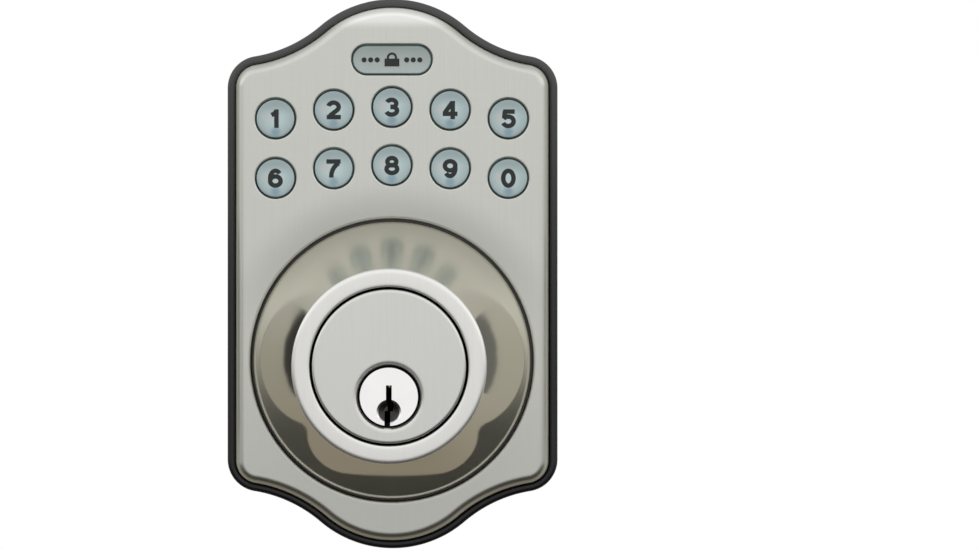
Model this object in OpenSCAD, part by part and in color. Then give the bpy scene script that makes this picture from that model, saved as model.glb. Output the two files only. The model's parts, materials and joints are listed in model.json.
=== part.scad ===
// Keypad smart lock, as fitted to a door: outside keypad unit, through-bolts and blade, inside motor unit.
// +X right seen from outside, +Y into the building, +Z up. The origin is on the axis of the door's
// cross bore, in the plane of the door's outer face.

/* [Overall] */
// Width of the outside unit
lock_w = 79; // [72:0.5:95]
// Height of the outside unit
lock_h = 131.5; // [120:0.5:160]
// Thickness of the door between the two units
door_t = 44.5; // [35:0.5:57]
// Cross-bore axis below the middle of the outside unit
axis_drop = 20.4; // [17:0.1:25]

/* [Outline] */
// Radius of the convex crown at top and bottom
crown_r = 26.6; // [24:0.1:30]
// Angle that the crown spans each side of the middle
crown_angle = 40.5; // [38:0.5:43]
// Radius of the concave flare beside the crown
flare_r = 32.3; // [30:0.1:36]
// Radius of the four corners
corner_r = 7.7; // [6:0.1:9]

/* [Outside case] */
// Thickness of the gasket on the door
gasket_t = 1.5; // [1:0.1:3]
// Thickness of the base housing's floor
floor_t = 2; // [1.5:0.1:3]
// Depth of the base housing from the door
base_depth = 13; // [10.5:0.1:18]
// Width of the black rim that shows round the metal plate
rim_w = 2; // [1.6:0.1:2.6]
// Height of the plate's face above the rim
plate_proud = 5; // [3:0.1:8]
// Thickness of the metal plate
plate_t = 2; // [1.5:0.1:2.5]
// Wall of the plate's skirt
skirt_t = 1.6; // [1.2:0.1:2]

/* [Keypad] */
// Radius of a key cap
key_r = 4.6; // [4:0.1:5.4]
// Distance between neighbouring keys
key_pitch = 13.8; // [13:0.1:15]
// Radius of the arch that the upper row follows
arch_r = 141; // [120:1:180]
// Height of the upper row's middle key above the cross-bore axis
key_row_z = 60; // [57:0.1:64]
// Travel of a key
key_travel = 1; // [0.6:0.1:1.2]
// Height of a rubber dome
dome_h = 1.8; // [1.4:0.1:2.4]
// Length and height of the indicator window
window_w = 19.2; // [16:0.1:22]
window_h = 7.4; // [6:0.1:8]
// Height of the window above the cross-bore axis
window_z = 71.4; // [70:0.1:74]

/* [Collar and cylinder] */
// How far the collar stands ahead of the plate
collar_len = 26; // [20:0.5:32]
// Radius of the collar where it meets the plate
collar_base_r = 33.2; // [30:0.1:34]
// Radius of the collar's front ring
collar_ring_r = 22.4; // [21.4:0.1:24]
// Radius of the cylinder's face
face_r = 17.6; // [16.5:0.1:18.5]
// Radius of the plug
plug_r = 6; // [5.6:0.1:6.6]
// Plug axis below the cross-bore axis
plug_drop = 6.8; // [6:0.1:7.5]
// Radius of the boss that centres the lock in the door's cross bore
bore_boss_r = 26.5; // [25.5:0.1:26.8]
// Distance between the two through-bolts
bolt_spacing = 35; // [33:0.5:38]
// Radius of a through-bolt
bolt_r = 2.45; // [2:0.05:2.9]

/* [Inside unit] */
// Depth of the inside cover from the door
cover_depth = 32; // [30:0.5:40]
// Wall of the inside cover
cover_t = 2; // [1.6:0.1:2.6]
// Radius of a battery cell
cell_r = 7.15; // [7:0.05:7.25]
// Length of a battery cell
cell_len = 50; // [48:0.5:50.5]
// Height of the thumb-turn from the cover
turn_h = 17; // [12:0.5:24]
// Gear module
gear_m = 0.8; // [0.7:0.05:0.85]

/* [Hidden] */
$fn = 96;
KEYS = ["1", "2", "3", "4", "5", "6", "7", "8", "9", "0"];

// Named clearances
fit = 0.1;         // between still pieces
run_fit = 0.06;    // radial, round a turning shaft
play = 0.3;        // between moving pieces that don't guide each other
eps = 0.01;

// Outline of the outside unit, from its own middle
mid_z = axis_drop;
crown_z = lock_h / 2 - crown_r;
flare_x = (crown_r + flare_r) * sin(crown_angle);
flare_z = crown_z + (crown_r + flare_r) * cos(crown_angle);
corner_x = lock_w / 2 - corner_r;
corner_z = flare_z - sqrt(pow(flare_r + corner_r, 2) - pow(corner_x - flare_x, 2));

// Depths of the outside unit, from the door's face towards the front
y_floor = -gasket_t - floor_t;
y_rim = -base_depth;
y_plate = y_rim - plate_proud;
y_plate_back = y_plate + plate_t;
key_flange_t = 1.2;
key_boss_h = 1.5;
y_key_flange = y_plate_back + play;
y_dome = y_key_flange + key_flange_t + key_boss_h;
mat_t = 1;
y_mat = y_dome + dome_h;
y_board = y_mat + mat_t;
board_t = 1.6;
y_board_back = y_board + board_t;
key_proud = 0.4;
key_flange_r = key_r + 1.3;
key_hole_r = key_r + 0.35;
key_bevel = 0.7;
post_r = 2.5;

// Keypad board: a wide field behind the keys and a tongue up to the window
board_half_w = lock_w / 2 - rim_w - fit - skirt_t - 0.8;
board_z0 = key_row_z - key_pitch - (arch_r - key_pitch) * (1 - cos(asin(2 * key_pitch
    / (arch_r - key_pitch)))) - key_flange_r - 1;
board_z1 = key_row_z + key_flange_r + 0.6;
tongue_half_w = window_w / 2 + 2.4;
tongue_z1 = window_z + window_h / 2 + 2;
board_post = [[-1, 1], [1, 1], [-1, -1], [1, -1]];
board_post_x = board_half_w - post_r - 0.2;
board_post_z = (board_z0 + board_z1) / 2;
board_post_dz = (board_z1 - board_z0) / 2 - post_r - 0.2;

// Cylinder, collar and their seats
y_face = y_plate - collar_len;
face_t = 3.8;
lip_t = 3.5;
neck_r = 14.8;
shoulder_r = 19.5;
ring_depth = 5.5;
ring_front_back = 0.5;
collar_t = 1.6;
collar_lift = 0.3;
y_neck = y_face + face_t;
y_shoulder = y_neck + lip_t + 2 * fit;
y_collar = y_face + ring_depth;
y_collar_rim = y_plate - collar_lift;
collar_cone = (collar_base_r - collar_ring_r) / (y_collar_rim - y_collar);
collar_wall = collar_t * sqrt(1 + pow(collar_cone, 2));
plate_hole_r = collar_base_r + 0.6;
ring_t = 2;
y_ring = y_floor - ring_t;
flange_t = 4;
flange_r = 23.5;
flange_half_h = 16;
y_flange = y_ring - flange_t;
boss_len = 3;
boss_wall = 2;
bolt_x = bolt_spacing / 2;
bolt_post_r = bolt_r + 1.4;
bolt_post_len = 8;
thread_depth = bolt_post_len - y_ring + 3;
thread_relief = 0.35;
plug_bore_r = plug_r + run_fit;
plug_head_r = plug_r + 0.6;
plug_head_t = 1.4;
plug_head_gap = 0.35;
plug_tail_y = y_ring - 1;
y_plug_end = y_flange - 2.5;
clip_t = 0.7;
clip_groove = 0.8;
pin_n = 5;
pin_pitch = 4;
pin_r = 1.35;
pin_hole_r = pin_r + run_fit;
y_pin = y_face + 6.5;
strip_z = 12;
strip_t = 1.2;
strip_half_w = 2.5;
keyway_w = 1.3;
keyway_top = 2.6;
blade_w = 6;
blade_t = 2;
socket_r = 3.6;
cable_r = 1.5;
cable_z = 20.8;

// Plate bosses and screws: two beside the window, two in the lower corners
plate_boss_r = 3;
plate_boss = [for (s = [-1, 1]) each [[s * (tongue_half_w + plate_boss_r + 1.2), mid_z + crown_z + 13],
                                      [s * (corner_x - 0.8), mid_z - corner_z - 0.4]]];
screw_r = 1.45;
screw_head_r = 2.7;
screw_head_t = 1.4;

// Inside unit, from the door's inner face
yd = door_t;
mount_t = 2;
cover_inset = 1;
inner_inset = cover_inset + cover_t + 0.4;
chassis_t = 2;
chassis_wall = 1.6;
y_chassis = yd + mount_t;
y_deck = y_chassis + chassis_t;
y_cover = yd + cover_depth;
y_cover_in = y_cover - cover_t;
split_z = 14.3;
bolt_head_r = 4.6;
bolt_head_t = 3;
hub_r = 6;
journal_r = 5;
spindle_teeth = 36;
pinion_teeth = 12;
wheel_teeth = 30;
backlash = 0.16;
centre_gap = 0.08;
spindle_wheel_t = 4;
reduction_t = 3;
y_spindle_wheel = y_deck + 2.5;
y_reduction = y_spindle_wheel + spindle_wheel_t + 0.6;
reduction_dir = 215;
motor_dir = -50;
reduction_gap = gear_m * (spindle_teeth + pinion_teeth) / 2 + centre_gap;
reduction_x = reduction_gap * cos(reduction_dir);
reduction_z = -plug_drop + reduction_gap * sin(reduction_dir);
motor_gap = gear_m * (wheel_teeth + pinion_teeth) / 2 + centre_gap;
motor_x = reduction_x + motor_gap * cos(motor_dir);
motor_z = reduction_z + motor_gap * sin(motor_dir);
motor_r = 8.5;
motor_len = y_cover_in - 1 - (y_reduction + reduction_t + 1.6);
y_motor = y_reduction + reduction_t + 1.6;
axle_r = 1.5;
cam_r = 8.6;
y_cam = y_reduction + 4;
turn_disc_r = 13;
turn_disc_t = 3;
turn_len = 38;
turn_w = 8;
y_turn = y_cover + play;
cell_pitch = 2 * cell_r + 0.9;
tray_half_w = 1.5 * cell_pitch + cell_r + 0.5;
tray_z0 = split_z - 0.5;
tray_end_t = 1.3;
contact_t = 0.4;
spring_h = 0.8;
cell_z0 = tray_z0 + tray_end_t + contact_t + spring_h;
tray_z1 = cell_z0 + cell_len + contact_t + spring_h + tray_end_t;
y_cell = y_cover_in - 1 - cell_r;
tray_back = 1.6;
y_tray = y_cell - cell_r - fit - tray_back;
y_control = y_deck + 3.5;
control_half_w = 27;
control_z0 = 24;
control_z1 = 62;
mount_screw_at = [[-26, -19], [26, -19], [-30, 62], [30, 62]];
cover_screw_x = 30.5;
cover_screw_z = 8.5;

// Cable: from the keypad board down inside the base, then straight through the door
CABLE = [[0, y_board_back + 1.6, board_z0 + 3.8], [0, y_board_back + 1.6, board_z0 - 1],
         [0, -7.2, 30], [0, -7.4, 26.5], [0, -7.2, 23.6], [0, -6, 21.7], [0, -4, 21], [0, -1, cable_z],
         [0, 5, cable_z], [0, yd - 4, cable_z], [0, yd + 2, cable_z + 0.2], [0, y_deck, 22.6],
         [0, y_control - 1.9, 25], [0, y_control - 1.8, 28]];

// ---------- helpers ----------

module rod(r, y0, y1, x = 0, z = 0) {
    translate([x, y0, z]) rotate([-90, 0, 0]) cylinder(r = r, h = y1 - y0);
}

module slab(y0, y1) {
    translate([0, y1, 0]) rotate([90, 0, 0]) linear_extrude(y1 - y0) children();
}

module block(x0, x1, y0, y1, z0, z1) {
    translate([x0, y0, z0]) cube([x1 - x0, y1 - y0, z1 - z0]);
}

// A round piece about the Y axis through x, z, from a profile drawn as radius and y
module turned(x = 0, z = 0) {
    translate([x, 0, z]) rotate([-90, 0, 0]) rotate_extrude() children();
}

module stadium(w, h) {
    for (s = [-1, 1]) translate([s * (w - h) / 2, 0]) circle(d = h);
    square([w - h, h], center = true);
}

// Quarter of the outline: straight side, corner, flare and crown, all tangent arcs
module outline_quarter(d) {
    to_corner = [corner_x - flare_x, corner_z - flare_z] / (flare_r + corner_r);
    to_crown = [-sin(crown_angle), -cos(crown_angle)];
    difference() {
        polygon([[0, 0], [lock_w / 2 - d, 0], [lock_w / 2 - d, corner_z], [corner_x, corner_z],
                 [flare_x, flare_z] + (flare_r + d) * to_corner,
                 [flare_x, flare_z] + (flare_r + d) * to_crown, [0, crown_z]]);
        translate([flare_x, flare_z]) circle(r = flare_r + d);
    }
    translate([corner_x, corner_z]) circle(r = corner_r - d);
}

// The outline moved in by d on all sides
module outline(d = 0) {
    translate([0, mid_z]) for (up = [0, 1]) mirror([0, up]) {
        for (side = [0, 1]) mirror([side, 0]) outline_quarter(d);
        translate([0, crown_z]) circle(r = crown_r - d);
    }
}

module outline_ring(d0, d1) {
    difference() {
        outline(d0);
        outline(d1);
    }
}

function key_x(i) = (i % 5 - 2) * key_pitch;
function key_row_r(i) = arch_r - (i < 5 ? 0 : key_pitch);
function key_z(i) = key_row_z - arch_r + sqrt(pow(key_row_r(i), 2) - pow(key_x(i), 2));

// Involute gear in 2D, tooth 0 on +X
function involute(a) = tan(a) - a * PI / 180;
function flank_angle(z, r, rb) =
    (PI / 2 / z - backlash / (gear_m * z) + involute(20) - involute(acos(min(1, rb / r)))) * 180 / PI;

module gear(z) {
    rp = gear_m * z / 2;
    rb = rp * cos(20);
    r_top = rp + 0.9 * gear_m;
    r_root = rp - 1.2 * gear_m;
    r_low = max(rb, r_root + 0.02);
    steps = 4;
    flank = [for (k = [0:steps]) let (r = r_low + (r_top - r_low) * k / steps)
             [r, flank_angle(z, r, rb)]];
    half = concat([[r_root, flank[0][1] + 0.4]], flank);
    polygon([for (t = [0:z - 1]) each concat(
        [for (p = half) p[0] * [cos(360 * t / z - p[1]), sin(360 * t / z - p[1])]],
        [for (k = [steps + 1:-1:0]) half[k][0] * [cos(360 * t / z + half[k][1]),
                                                 sin(360 * t / z + half[k][1])]])]);
}

// Pan-head screw: head towards +Y or -Y, with a cross recess
module screw(x, z, y_seat, length, r, head_r, head_t, to = 1) {
    translate([x, y_seat, z]) mirror([0, to < 0 ? 1 : 0, 0]) difference() {
        union() {
            rod(r, -length, 0.2);
            rod(head_r, 0, head_t);
        }
        for (a = [0, 90]) rotate([0, a, 0])
            block(-head_r * 0.6, head_r * 0.6, head_t * 0.45, head_t + 1, -0.3, 0.3);
    }
}

// Tube swept along points in one X plane; sides of the section lie across the route
function unit(v) = v / norm(v);
function route_dir(p, i) = unit(p[min(i + 1, len(p) - 1)] - p[max(i - 1, 0)]);
module tube_along(p, r, sides) {
    n = len(p);
    points = [for (i = [0:n - 1]) let (t = route_dir(p, i), up = cross([1, 0, 0], t))
              for (k = [0:sides - 1]) let (a = 360 * k / sides)
              p[i] + r * (cos(a) * [1, 0, 0] + sin(a) * up)];
    walls = [for (i = [0:n - 2]) for (k = [0:sides - 1]) let (j = (k + 1) % sides)
             [i * sides + k, i * sides + j, (i + 1) * sides + j, (i + 1) * sides + k]];
    polyhedron(points, concat([[for (k = [sides - 1:-1:0]) k]], walls,
                              [[for (k = [0:sides - 1]) (n - 1) * sides + k]]));
}

// ---------- outside unit ----------

module door_gasket() {
    color([0.09, 0.09, 0.09]) slab(-gasket_t, 0) difference() {
        outline(0.6);
        circle(r = bore_boss_r + 0.5);
    }
}

module base_housing() {
    color([0.14, 0.15, 0.15]) difference() {
        union() {
            slab(y_floor, -gasket_t) outline();
            slab(y_rim, y_floor) outline_ring(0, rim_w);
            for (p = board_post)
                rod(post_r, y_board_back, y_floor, p[0] * board_post_x, board_post_z + p[1] * board_post_dz);
        }
        rod(bore_boss_r + 0.5, y_floor - 1, 1);
        for (p = plate_boss) {
            rod(screw_r + fit, y_floor - 1, 1, p[0], p[1]);
            rod(screw_head_r + 0.3, -gasket_t - screw_head_t, 1, p[0], p[1]);
        }
        for (p = board_post)
            rod(1.2, y_board_back - 1, y_floor - 0.4, p[0] * board_post_x,
                board_post_z + p[1] * board_post_dz);
    }
}

module support_ring() {
    color([0.62, 0.62, 0.6]) difference() {
        union() {
            rod(bore_boss_r + 4.5, y_ring, y_floor);
            rod(bore_boss_r - 0.4, y_floor, 0);
            rod(bore_boss_r, 0, boss_len);
        }
        rod(bore_boss_r - boss_wall, y_floor, boss_len + 1);
        for (s = [-1, 1]) rod(bolt_post_r + 0.3, y_ring - 1, y_floor + 1, s * bolt_x);
        rod(plug_r + 2.4, y_ring - 1, y_floor + 1, 0, -plug_drop);
        rod(cable_r + 1.4, y_ring - 1, y_floor + 1, 0, cable_z + 0.6);
    }
}

module front_plate() {
    outer = rim_w + fit;
    color([0.74, 0.74, 0.71]) difference() {
        union() {
            slab(y_plate, y_plate + 1) outline(outer + 0.8);
            slab(y_plate + 1, y_plate_back) outline(outer);
            slab(y_plate_back, y_floor - fit) outline_ring(outer, outer + skirt_t);
            for (p = plate_boss)
                rod(plate_boss_r, y_plate_back, y_floor, p[0], p[1]);
        }
        rod(plate_hole_r, y_plate - 1, y_floor + 1);
        for (i = [0:9]) {
            rod(key_hole_r, y_plate - 1, y_plate_back + 1, key_x(i), key_z(i));
            translate([key_x(i), y_plate - eps, key_z(i)]) rotate([-90, 0, 0])
                cylinder(r1 = key_hole_r + key_bevel, r2 = key_hole_r, h = key_bevel);
        }
        translate([0, 0, window_z]) slab(y_plate - 1, y_plate_back + 1)
            stadium(window_w + 0.4, window_h + 0.4);
        for (p = plate_boss)
            rod(screw_r + 0.05, y_plate_back + 1, y_floor + 1, p[0], p[1]);
    }
}

module plate_screws() {
    color([0.6, 0.6, 0.6]) for (p = plate_boss)
        screw(p[0], p[1], -gasket_t - screw_head_t + 0.05,
              base_depth - gasket_t - screw_head_t - 3, screw_r, screw_head_r, screw_head_t - 0.1);
}

module indicator_lens() {
    color([0.6, 0.66, 0.67, 0.8]) translate([0, 0, window_z]) {
        slab(y_plate + 0.2, y_plate_back + fit) stadium(window_w, window_h);
        slab(y_plate_back + fit, y_plate_back + 1.2) stadium(window_w + 2.4, window_h + 2.4);
    }
}

module status_light() {
    color([0.9, 0.9, 0.85]) for (s = [-1, 1]) {
        block(s * 5 - 1.6, s * 5 + 1.6, y_board - 1, y_board, window_z - 1.4, window_z + 1.4);
        rod(1.1, y_board - 1.8, y_board - 1, s * 5, window_z);
    }
}

module board_outline() {
    translate([-board_half_w, board_z0]) square([2 * board_half_w, board_z1 - board_z0]);
    translate([-tongue_half_w, board_z1 - 1]) square([2 * tongue_half_w, tongue_z1 - board_z1 + 1]);
}

module light_places() {
    for (x = [-1.5:1:1.5]) translate([x * key_pitch, key_row_z - key_pitch / 2 - 1.4]) children();
}

module keypad_mat() {
    margin = 1;
    color([0.82, 0.85, 0.85]) {
        slab(y_mat, y_board) difference() {
            translate([margin - board_half_w, board_z0 + margin])
                square([2 * (board_half_w - margin), board_z1 - board_z0 - 2 * margin]);
            for (i = [0:9]) translate([key_x(i), key_z(i)]) circle(r = 3.8);
            for (p = board_post)
                translate([p[0] * board_post_x, board_post_z + p[1] * board_post_dz]) circle(r = 3.1);
            light_places() square([3.2, 2.6], center = true);
        }
        for (i = [0:9]) turned(key_x(i), key_z(i)) {
            polygon([[3.2, y_board], [3.8, y_board], [3.8, y_mat], [2.6, y_dome], [0, y_dome],
                     [0, y_dome + 0.9], [2.2, y_dome + 0.9], [3.2, y_mat + 0.4]]);
        }
    }
}

module keypad_board() {
    color([0.1, 0.32, 0.2]) difference() {
        slab(y_board, y_board_back) board_outline();
        for (p = board_post)
            rod(1.4, y_board - 1, y_board_back + 1, p[0] * board_post_x,
                board_post_z + p[1] * board_post_dz);
    }
}

module board_screws() {
    color([0.7, 0.7, 0.68]) for (p = board_post)
        screw(p[0] * board_post_x, board_post_z + p[1] * board_post_dz, y_board,
              y_floor - y_board - 1, 1.1, 2.1, 1, -1);
}

module key_lights() {
    color([0.85, 0.95, 1]) slab(y_board - 0.8, y_board) light_places() square([2.6, 2], center = true);
}

module radio_module() {
    z0 = board_z0 + 12;
    color([0.15, 0.2, 0.45]) block(-24, -8, y_board_back, y_board_back + 0.8, z0, z0 + 12);
    color([0.7, 0.7, 0.7]) block(-22, -13, y_board_back + 0.8, y_board_back + 2.2, z0 + 2, z0 + 10);
}

module outside_connector() {
    z0 = board_z0 + 3.2;
    deep = y_floor - y_board_back - 1.5;
    color([0.9, 0.88, 0.8]) difference() {
        block(-4, 4, y_board_back, y_board_back + deep, z0, z0 + 6);
        translate([0, y_board_back + 1.6, z0 - 1]) cylinder(r = cable_r + 0.2, h = 1.6);
    }
}

module collar_seal() {
    color([0.05, 0.05, 0.05]) difference() {
        rod(collar_base_r + 2, y_plate_back, y_plate_back + 0.8);
        rod(collar_base_r - 4, y_plate_back - 1, y_plate_back + 2);
    }
}

// The collar's cone; collar_wall is its wall measured along the radius
module collar_flare() {
    y_end = y_collar_rim + collar_t;
    inner = collar_ring_r - collar_wall;
    color([0.58, 0.56, 0.51]) turned()
        polygon([[collar_ring_r, y_collar], [collar_base_r, y_collar_rim], [collar_base_r, y_end],
                 [inner + collar_cone * (y_end - y_collar), y_end], [inner, y_collar]]);
}

module collar_ring() {
    front = y_face + ring_front_back;
    edge = 1;
    color([0.8, 0.79, 0.76]) turned() difference() {
        union() {
            translate([face_r, front]) square([collar_ring_r - edge - face_r, y_collar - front]);
            translate([face_r, front + edge])
                square([collar_ring_r - face_r, y_collar - front - edge]);
            translate([collar_ring_r - edge, front + edge]) circle(r = edge);
        }
        translate([0, front - 1]) square([face_r + play, y_collar - front + 2]);
    }
}

// The collar's inner rim, which turns on the cylinder's neck and sits in the front ring
module collar_lip() {
    color([0.7, 0.7, 0.68]) turned() {
        translate([neck_r + run_fit, y_neck + fit]) square([face_r + play - neck_r - run_fit, lip_t]);
        translate([face_r + play - 1, y_collar])
            square([collar_ring_r - collar_wall - fit - face_r - play + 1, y_neck + fit + lip_t - y_collar]);
    }
}

module chamber_holes() {
    for (i = [0:pin_n - 1]) translate([0, y_pin + i * pin_pitch, -plug_drop])
        cylinder(r = pin_hole_r, h = plug_drop + strip_z + eps);
}

module cylinder_body() {
    color([0.77, 0.77, 0.74]) difference() {
        union() {
            turned() polygon([[0, y_face], [face_r - 0.7, y_face], [face_r, y_face + 0.7],
                              [face_r, y_neck], [neck_r, y_neck], [neck_r, y_shoulder],
                              [shoulder_r, y_shoulder], [shoulder_r, y_flange], [0, y_flange]]);
            intersection() {
                rod(flange_r, y_flange, y_ring);
                block(-40, 40, y_flange, y_ring, -flange_half_h, flange_half_h);
            }
            for (s = [-1, 1]) rod(bolt_post_r, y_flange, bolt_post_len, s * bolt_x);
        }
        rod(plug_bore_r, y_face - 1, y_flange + 1, 0, -plug_drop);
        rod(plug_head_r + plug_head_gap, y_face - 1, y_face + plug_head_t, 0, -plug_drop);
        rod(plug_r + 2.4, y_flange, y_ring + 1, 0, -plug_drop);
        chamber_holes();
        block(-strip_half_w, strip_half_w, y_pin - 2, y_pin + pin_pitch * (pin_n - 1) + 2,
              strip_z, shoulder_r + 1);
        for (s = [-1, 1]) rod(bolt_r + 0.05, bolt_post_len - thread_depth, bolt_post_len + 1, s * bolt_x);
    }
}

// Keyway with its two side wards, from the plug's own axis
module keyway() {
    translate([-keyway_w / 2, -1.2]) square([keyway_w, keyway_top + 1.2]);
    translate([-keyway_w / 2 + 0.35, -3.4]) square([keyway_w, 2.3]);
    translate([-keyway_w / 2 - 0.35, -plug_head_r - 1]) square([keyway_w, plug_head_r - 2.3]);
}

module plug() {
    color([0.93, 0.91, 0.9]) difference() {
        union() {
            rod(plug_head_r, y_face - 0.5, y_face + plug_head_t - fit, 0, -plug_drop);
            rod(plug_r, y_face, y_plug_end, 0, -plug_drop);
        }
        translate([0, 0, -plug_drop]) slab(y_face - 1, y_flange - 4) keyway();
        translate([0, y_face - 0.5 - eps, -plug_drop - 3.4]) rotate([-90, 0, 0])
            cylinder(r1 = 2.8, r2 = 1.2, h = 1.2);
        for (i = [0:pin_n - 1]) translate([0, y_pin + i * pin_pitch, -plug_drop])
            cylinder(r = pin_hole_r, h = plug_head_r + 1);
    }
}

// Rear end of the plug: the socket that the blade stands in and the groove for the clip
module plug_tail() {
    color([0.8, 0.78, 0.72]) difference() {
        rod(plug_r, y_plug_end, plug_tail_y, 0, -plug_drop);
        rod(socket_r, y_plug_end - 1, plug_tail_y + 1, 0, -plug_drop);
        turned(0, -plug_drop) translate([plug_r - 0.9, y_flange + fit]) square([2, clip_groove]);
    }
}

module plug_clip() {
    color([0.35, 0.35, 0.37]) difference() {
        rod(plug_r + 1.5, y_flange + fit + 0.05, y_flange + fit + 0.05 + clip_t, 0, -plug_drop);
        rod(plug_r - 0.85, y_flange - 1, y_flange + 3, 0, -plug_drop);
        block(-1.8, 1.8, y_flange - 1, y_flange + 3, -plug_drop - 9, -plug_drop);
    }
}

module key_pins() {
    tip = 0.9;
    top = plug_r - 0.16;
    color([0.78, 0.63, 0.3]) for (i = [0:pin_n - 1])
        translate([0, y_pin + i * pin_pitch, -plug_drop]) rotate_extrude()
            polygon([[0, tip], [pin_r, tip + 0.9], [pin_r, top], [0, top]]);
}

module driver_pins() {
    low = plug_bore_r + 0.05;
    color([0.75, 0.75, 0.72]) for (i = [0:pin_n - 1])
        translate([0, y_pin + i * pin_pitch, -plug_drop]) rotate_extrude()
            polygon([[0, low], [pin_r, low], [pin_r, low + 3.8], [0, low + 3.8]]);
}

// Each spring as one closed coil sleeve with a wavy wall
module pin_springs() {
    low = plug_bore_r + 3.9;
    high = plug_drop + strip_z - 0.05;
    turns = 6;
    step = (high - low) / turns;
    color([0.6, 0.6, 0.62]) for (i = [0:pin_n - 1])
        translate([0, y_pin + i * pin_pitch, -plug_drop]) rotate_extrude()
            polygon(concat(
                [for (k = [0:2 * turns]) [k % 2 == 0 ? 0.85 : 1.15, low + k * step / 2]],
                [for (k = [2 * turns:-1:0]) [k % 2 == 0 ? 1.05 : 1.35, low + k * step / 2]]));
}

module spring_cover() {
    color([0.72, 0.6, 0.32]) block(-strip_half_w + 0.05, strip_half_w - 0.05, y_pin - 1.95,
        y_pin + pin_pitch * (pin_n - 1) + 1.95, strip_z, strip_z + strip_t);
}

module torque_blade() {
    color([0.7, 0.7, 0.7]) block(-blade_t / 2, blade_t / 2, y_flange - 2, y_cam + 4,
        -plug_drop - blade_w / 2, -plug_drop + blade_w / 2);
}

module cable() {
    color([0.12, 0.12, 0.12]) tube_along(CABLE, cable_r, 10);
}

module key_cap(i) {
    color([0.66, 0.72, 0.74]) difference() {
        union() {
            rod(key_r, y_plate - key_proud, y_key_flange, key_x(i), key_z(i));
            rod(key_flange_r, y_key_flange, y_key_flange + key_flange_t, key_x(i), key_z(i));
            rod(2.2, y_key_flange + key_flange_t, y_dome, key_x(i), key_z(i));
        }
        turned(key_x(i), key_z(i)) translate([key_r - 0.4, y_plate - key_proud - eps])
            polygon([[0, 0], [1, 0], [1, 1.4]]);
    }
}

// ---------- inside unit ----------

module mount_plate() {
    color([0.66, 0.67, 0.66]) difference() {
        slab(yd, y_chassis) outline(inner_inset);
        rod(journal_r + 2, yd - 1, y_chassis + 1, 0, -plug_drop);
        for (s = [-1, 1]) rod(bolt_r + 0.3, yd - 1, y_chassis + 1, s * bolt_x);
        rod(cable_r + 2.3, yd - 1, y_chassis + 1, 0, cable_z + 0.6);
        for (p = mount_screw_at) rod(screw_r + 0.05, yd - 1, y_chassis + 1, p[0], p[1]);
    }
}

module through_bolts() {
    color([0.72, 0.72, 0.7]) for (s = [-1, 1]) difference() {
        union() {
            rod(bolt_r - thread_relief, bolt_post_len - thread_depth + 2, y_chassis + 0.2, s * bolt_x);
            rod(bolt_r, bolt_post_len + 0.5, yd - 0.5, s * bolt_x);
            rod(bolt_head_r, y_chassis, y_chassis + bolt_head_t, s * bolt_x);
        }
        slab(y_chassis + 1.2, y_chassis + bolt_head_t + 1) translate([s * bolt_x, 0])
            circle(r = 2.3, $fn = 6);
    }
}

module mount_screws() {
    color([0.62, 0.62, 0.62]) for (p = mount_screw_at)
        screw(p[0], p[1], y_deck, chassis_t + mount_t - 0.1, screw_r, screw_head_r, screw_head_t);
}

module chassis() {
    color([0.2, 0.21, 0.22]) difference() {
        union() {
            slab(y_chassis, y_deck) outline(inner_inset);
            slab(y_deck, y_deck + 6) outline_ring(inner_inset, inner_inset + chassis_wall);
            for (s = [-1, 1]) {
                rod(3.2, y_deck, y_cover_in - fit, s * cover_screw_x, cover_screw_z);
                for (z = [control_z0 + 3, control_z1 - 3])
                    rod(2.2, y_deck, y_control, s * (control_half_w - 3), z);
                for (z = [control_z0 - 3.2, control_z1 + 3.5])
                    rod(2.4, y_deck, y_tray, s * (tray_half_w - 7), z);
            }
            rod(3, y_deck, y_spindle_wheel - 0.4, reduction_x, reduction_z);
            rod(2.4, y_deck, y_cam, 19.6, -10.5);
        }
        rod(journal_r + 2, y_chassis - 1, y_deck + 1, 0, -plug_drop);
        for (s = [-1, 1]) {
            rod(bolt_head_r + 0.6, y_chassis - 1, y_deck + 1, s * bolt_x);
            rod(screw_r, y_cover_in - 10, y_cover_in + 1, s * cover_screw_x, cover_screw_z);
        }
        rod(cable_r + 2.3, y_chassis - 1, y_deck + 1, 0, cable_z + 1.4);
        for (p = mount_screw_at) rod(screw_r + fit, y_chassis - 1, y_deck + 1, p[0], p[1]);
        rod(axle_r, y_chassis + 0.6, y_spindle_wheel, reduction_x, reduction_z);
    }
}

module spindle_bush() {
    color([0.88, 0.87, 0.82]) difference() {
        union() {
            rod(journal_r + 1.95, yd + 0.3, y_deck, 0, -plug_drop);
            rod(journal_r + 3.4, y_deck, y_deck + 0.9, 0, -plug_drop);
        }
        rod(journal_r + run_fit, yd - 1, y_deck + 2, 0, -plug_drop);
    }
}

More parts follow.
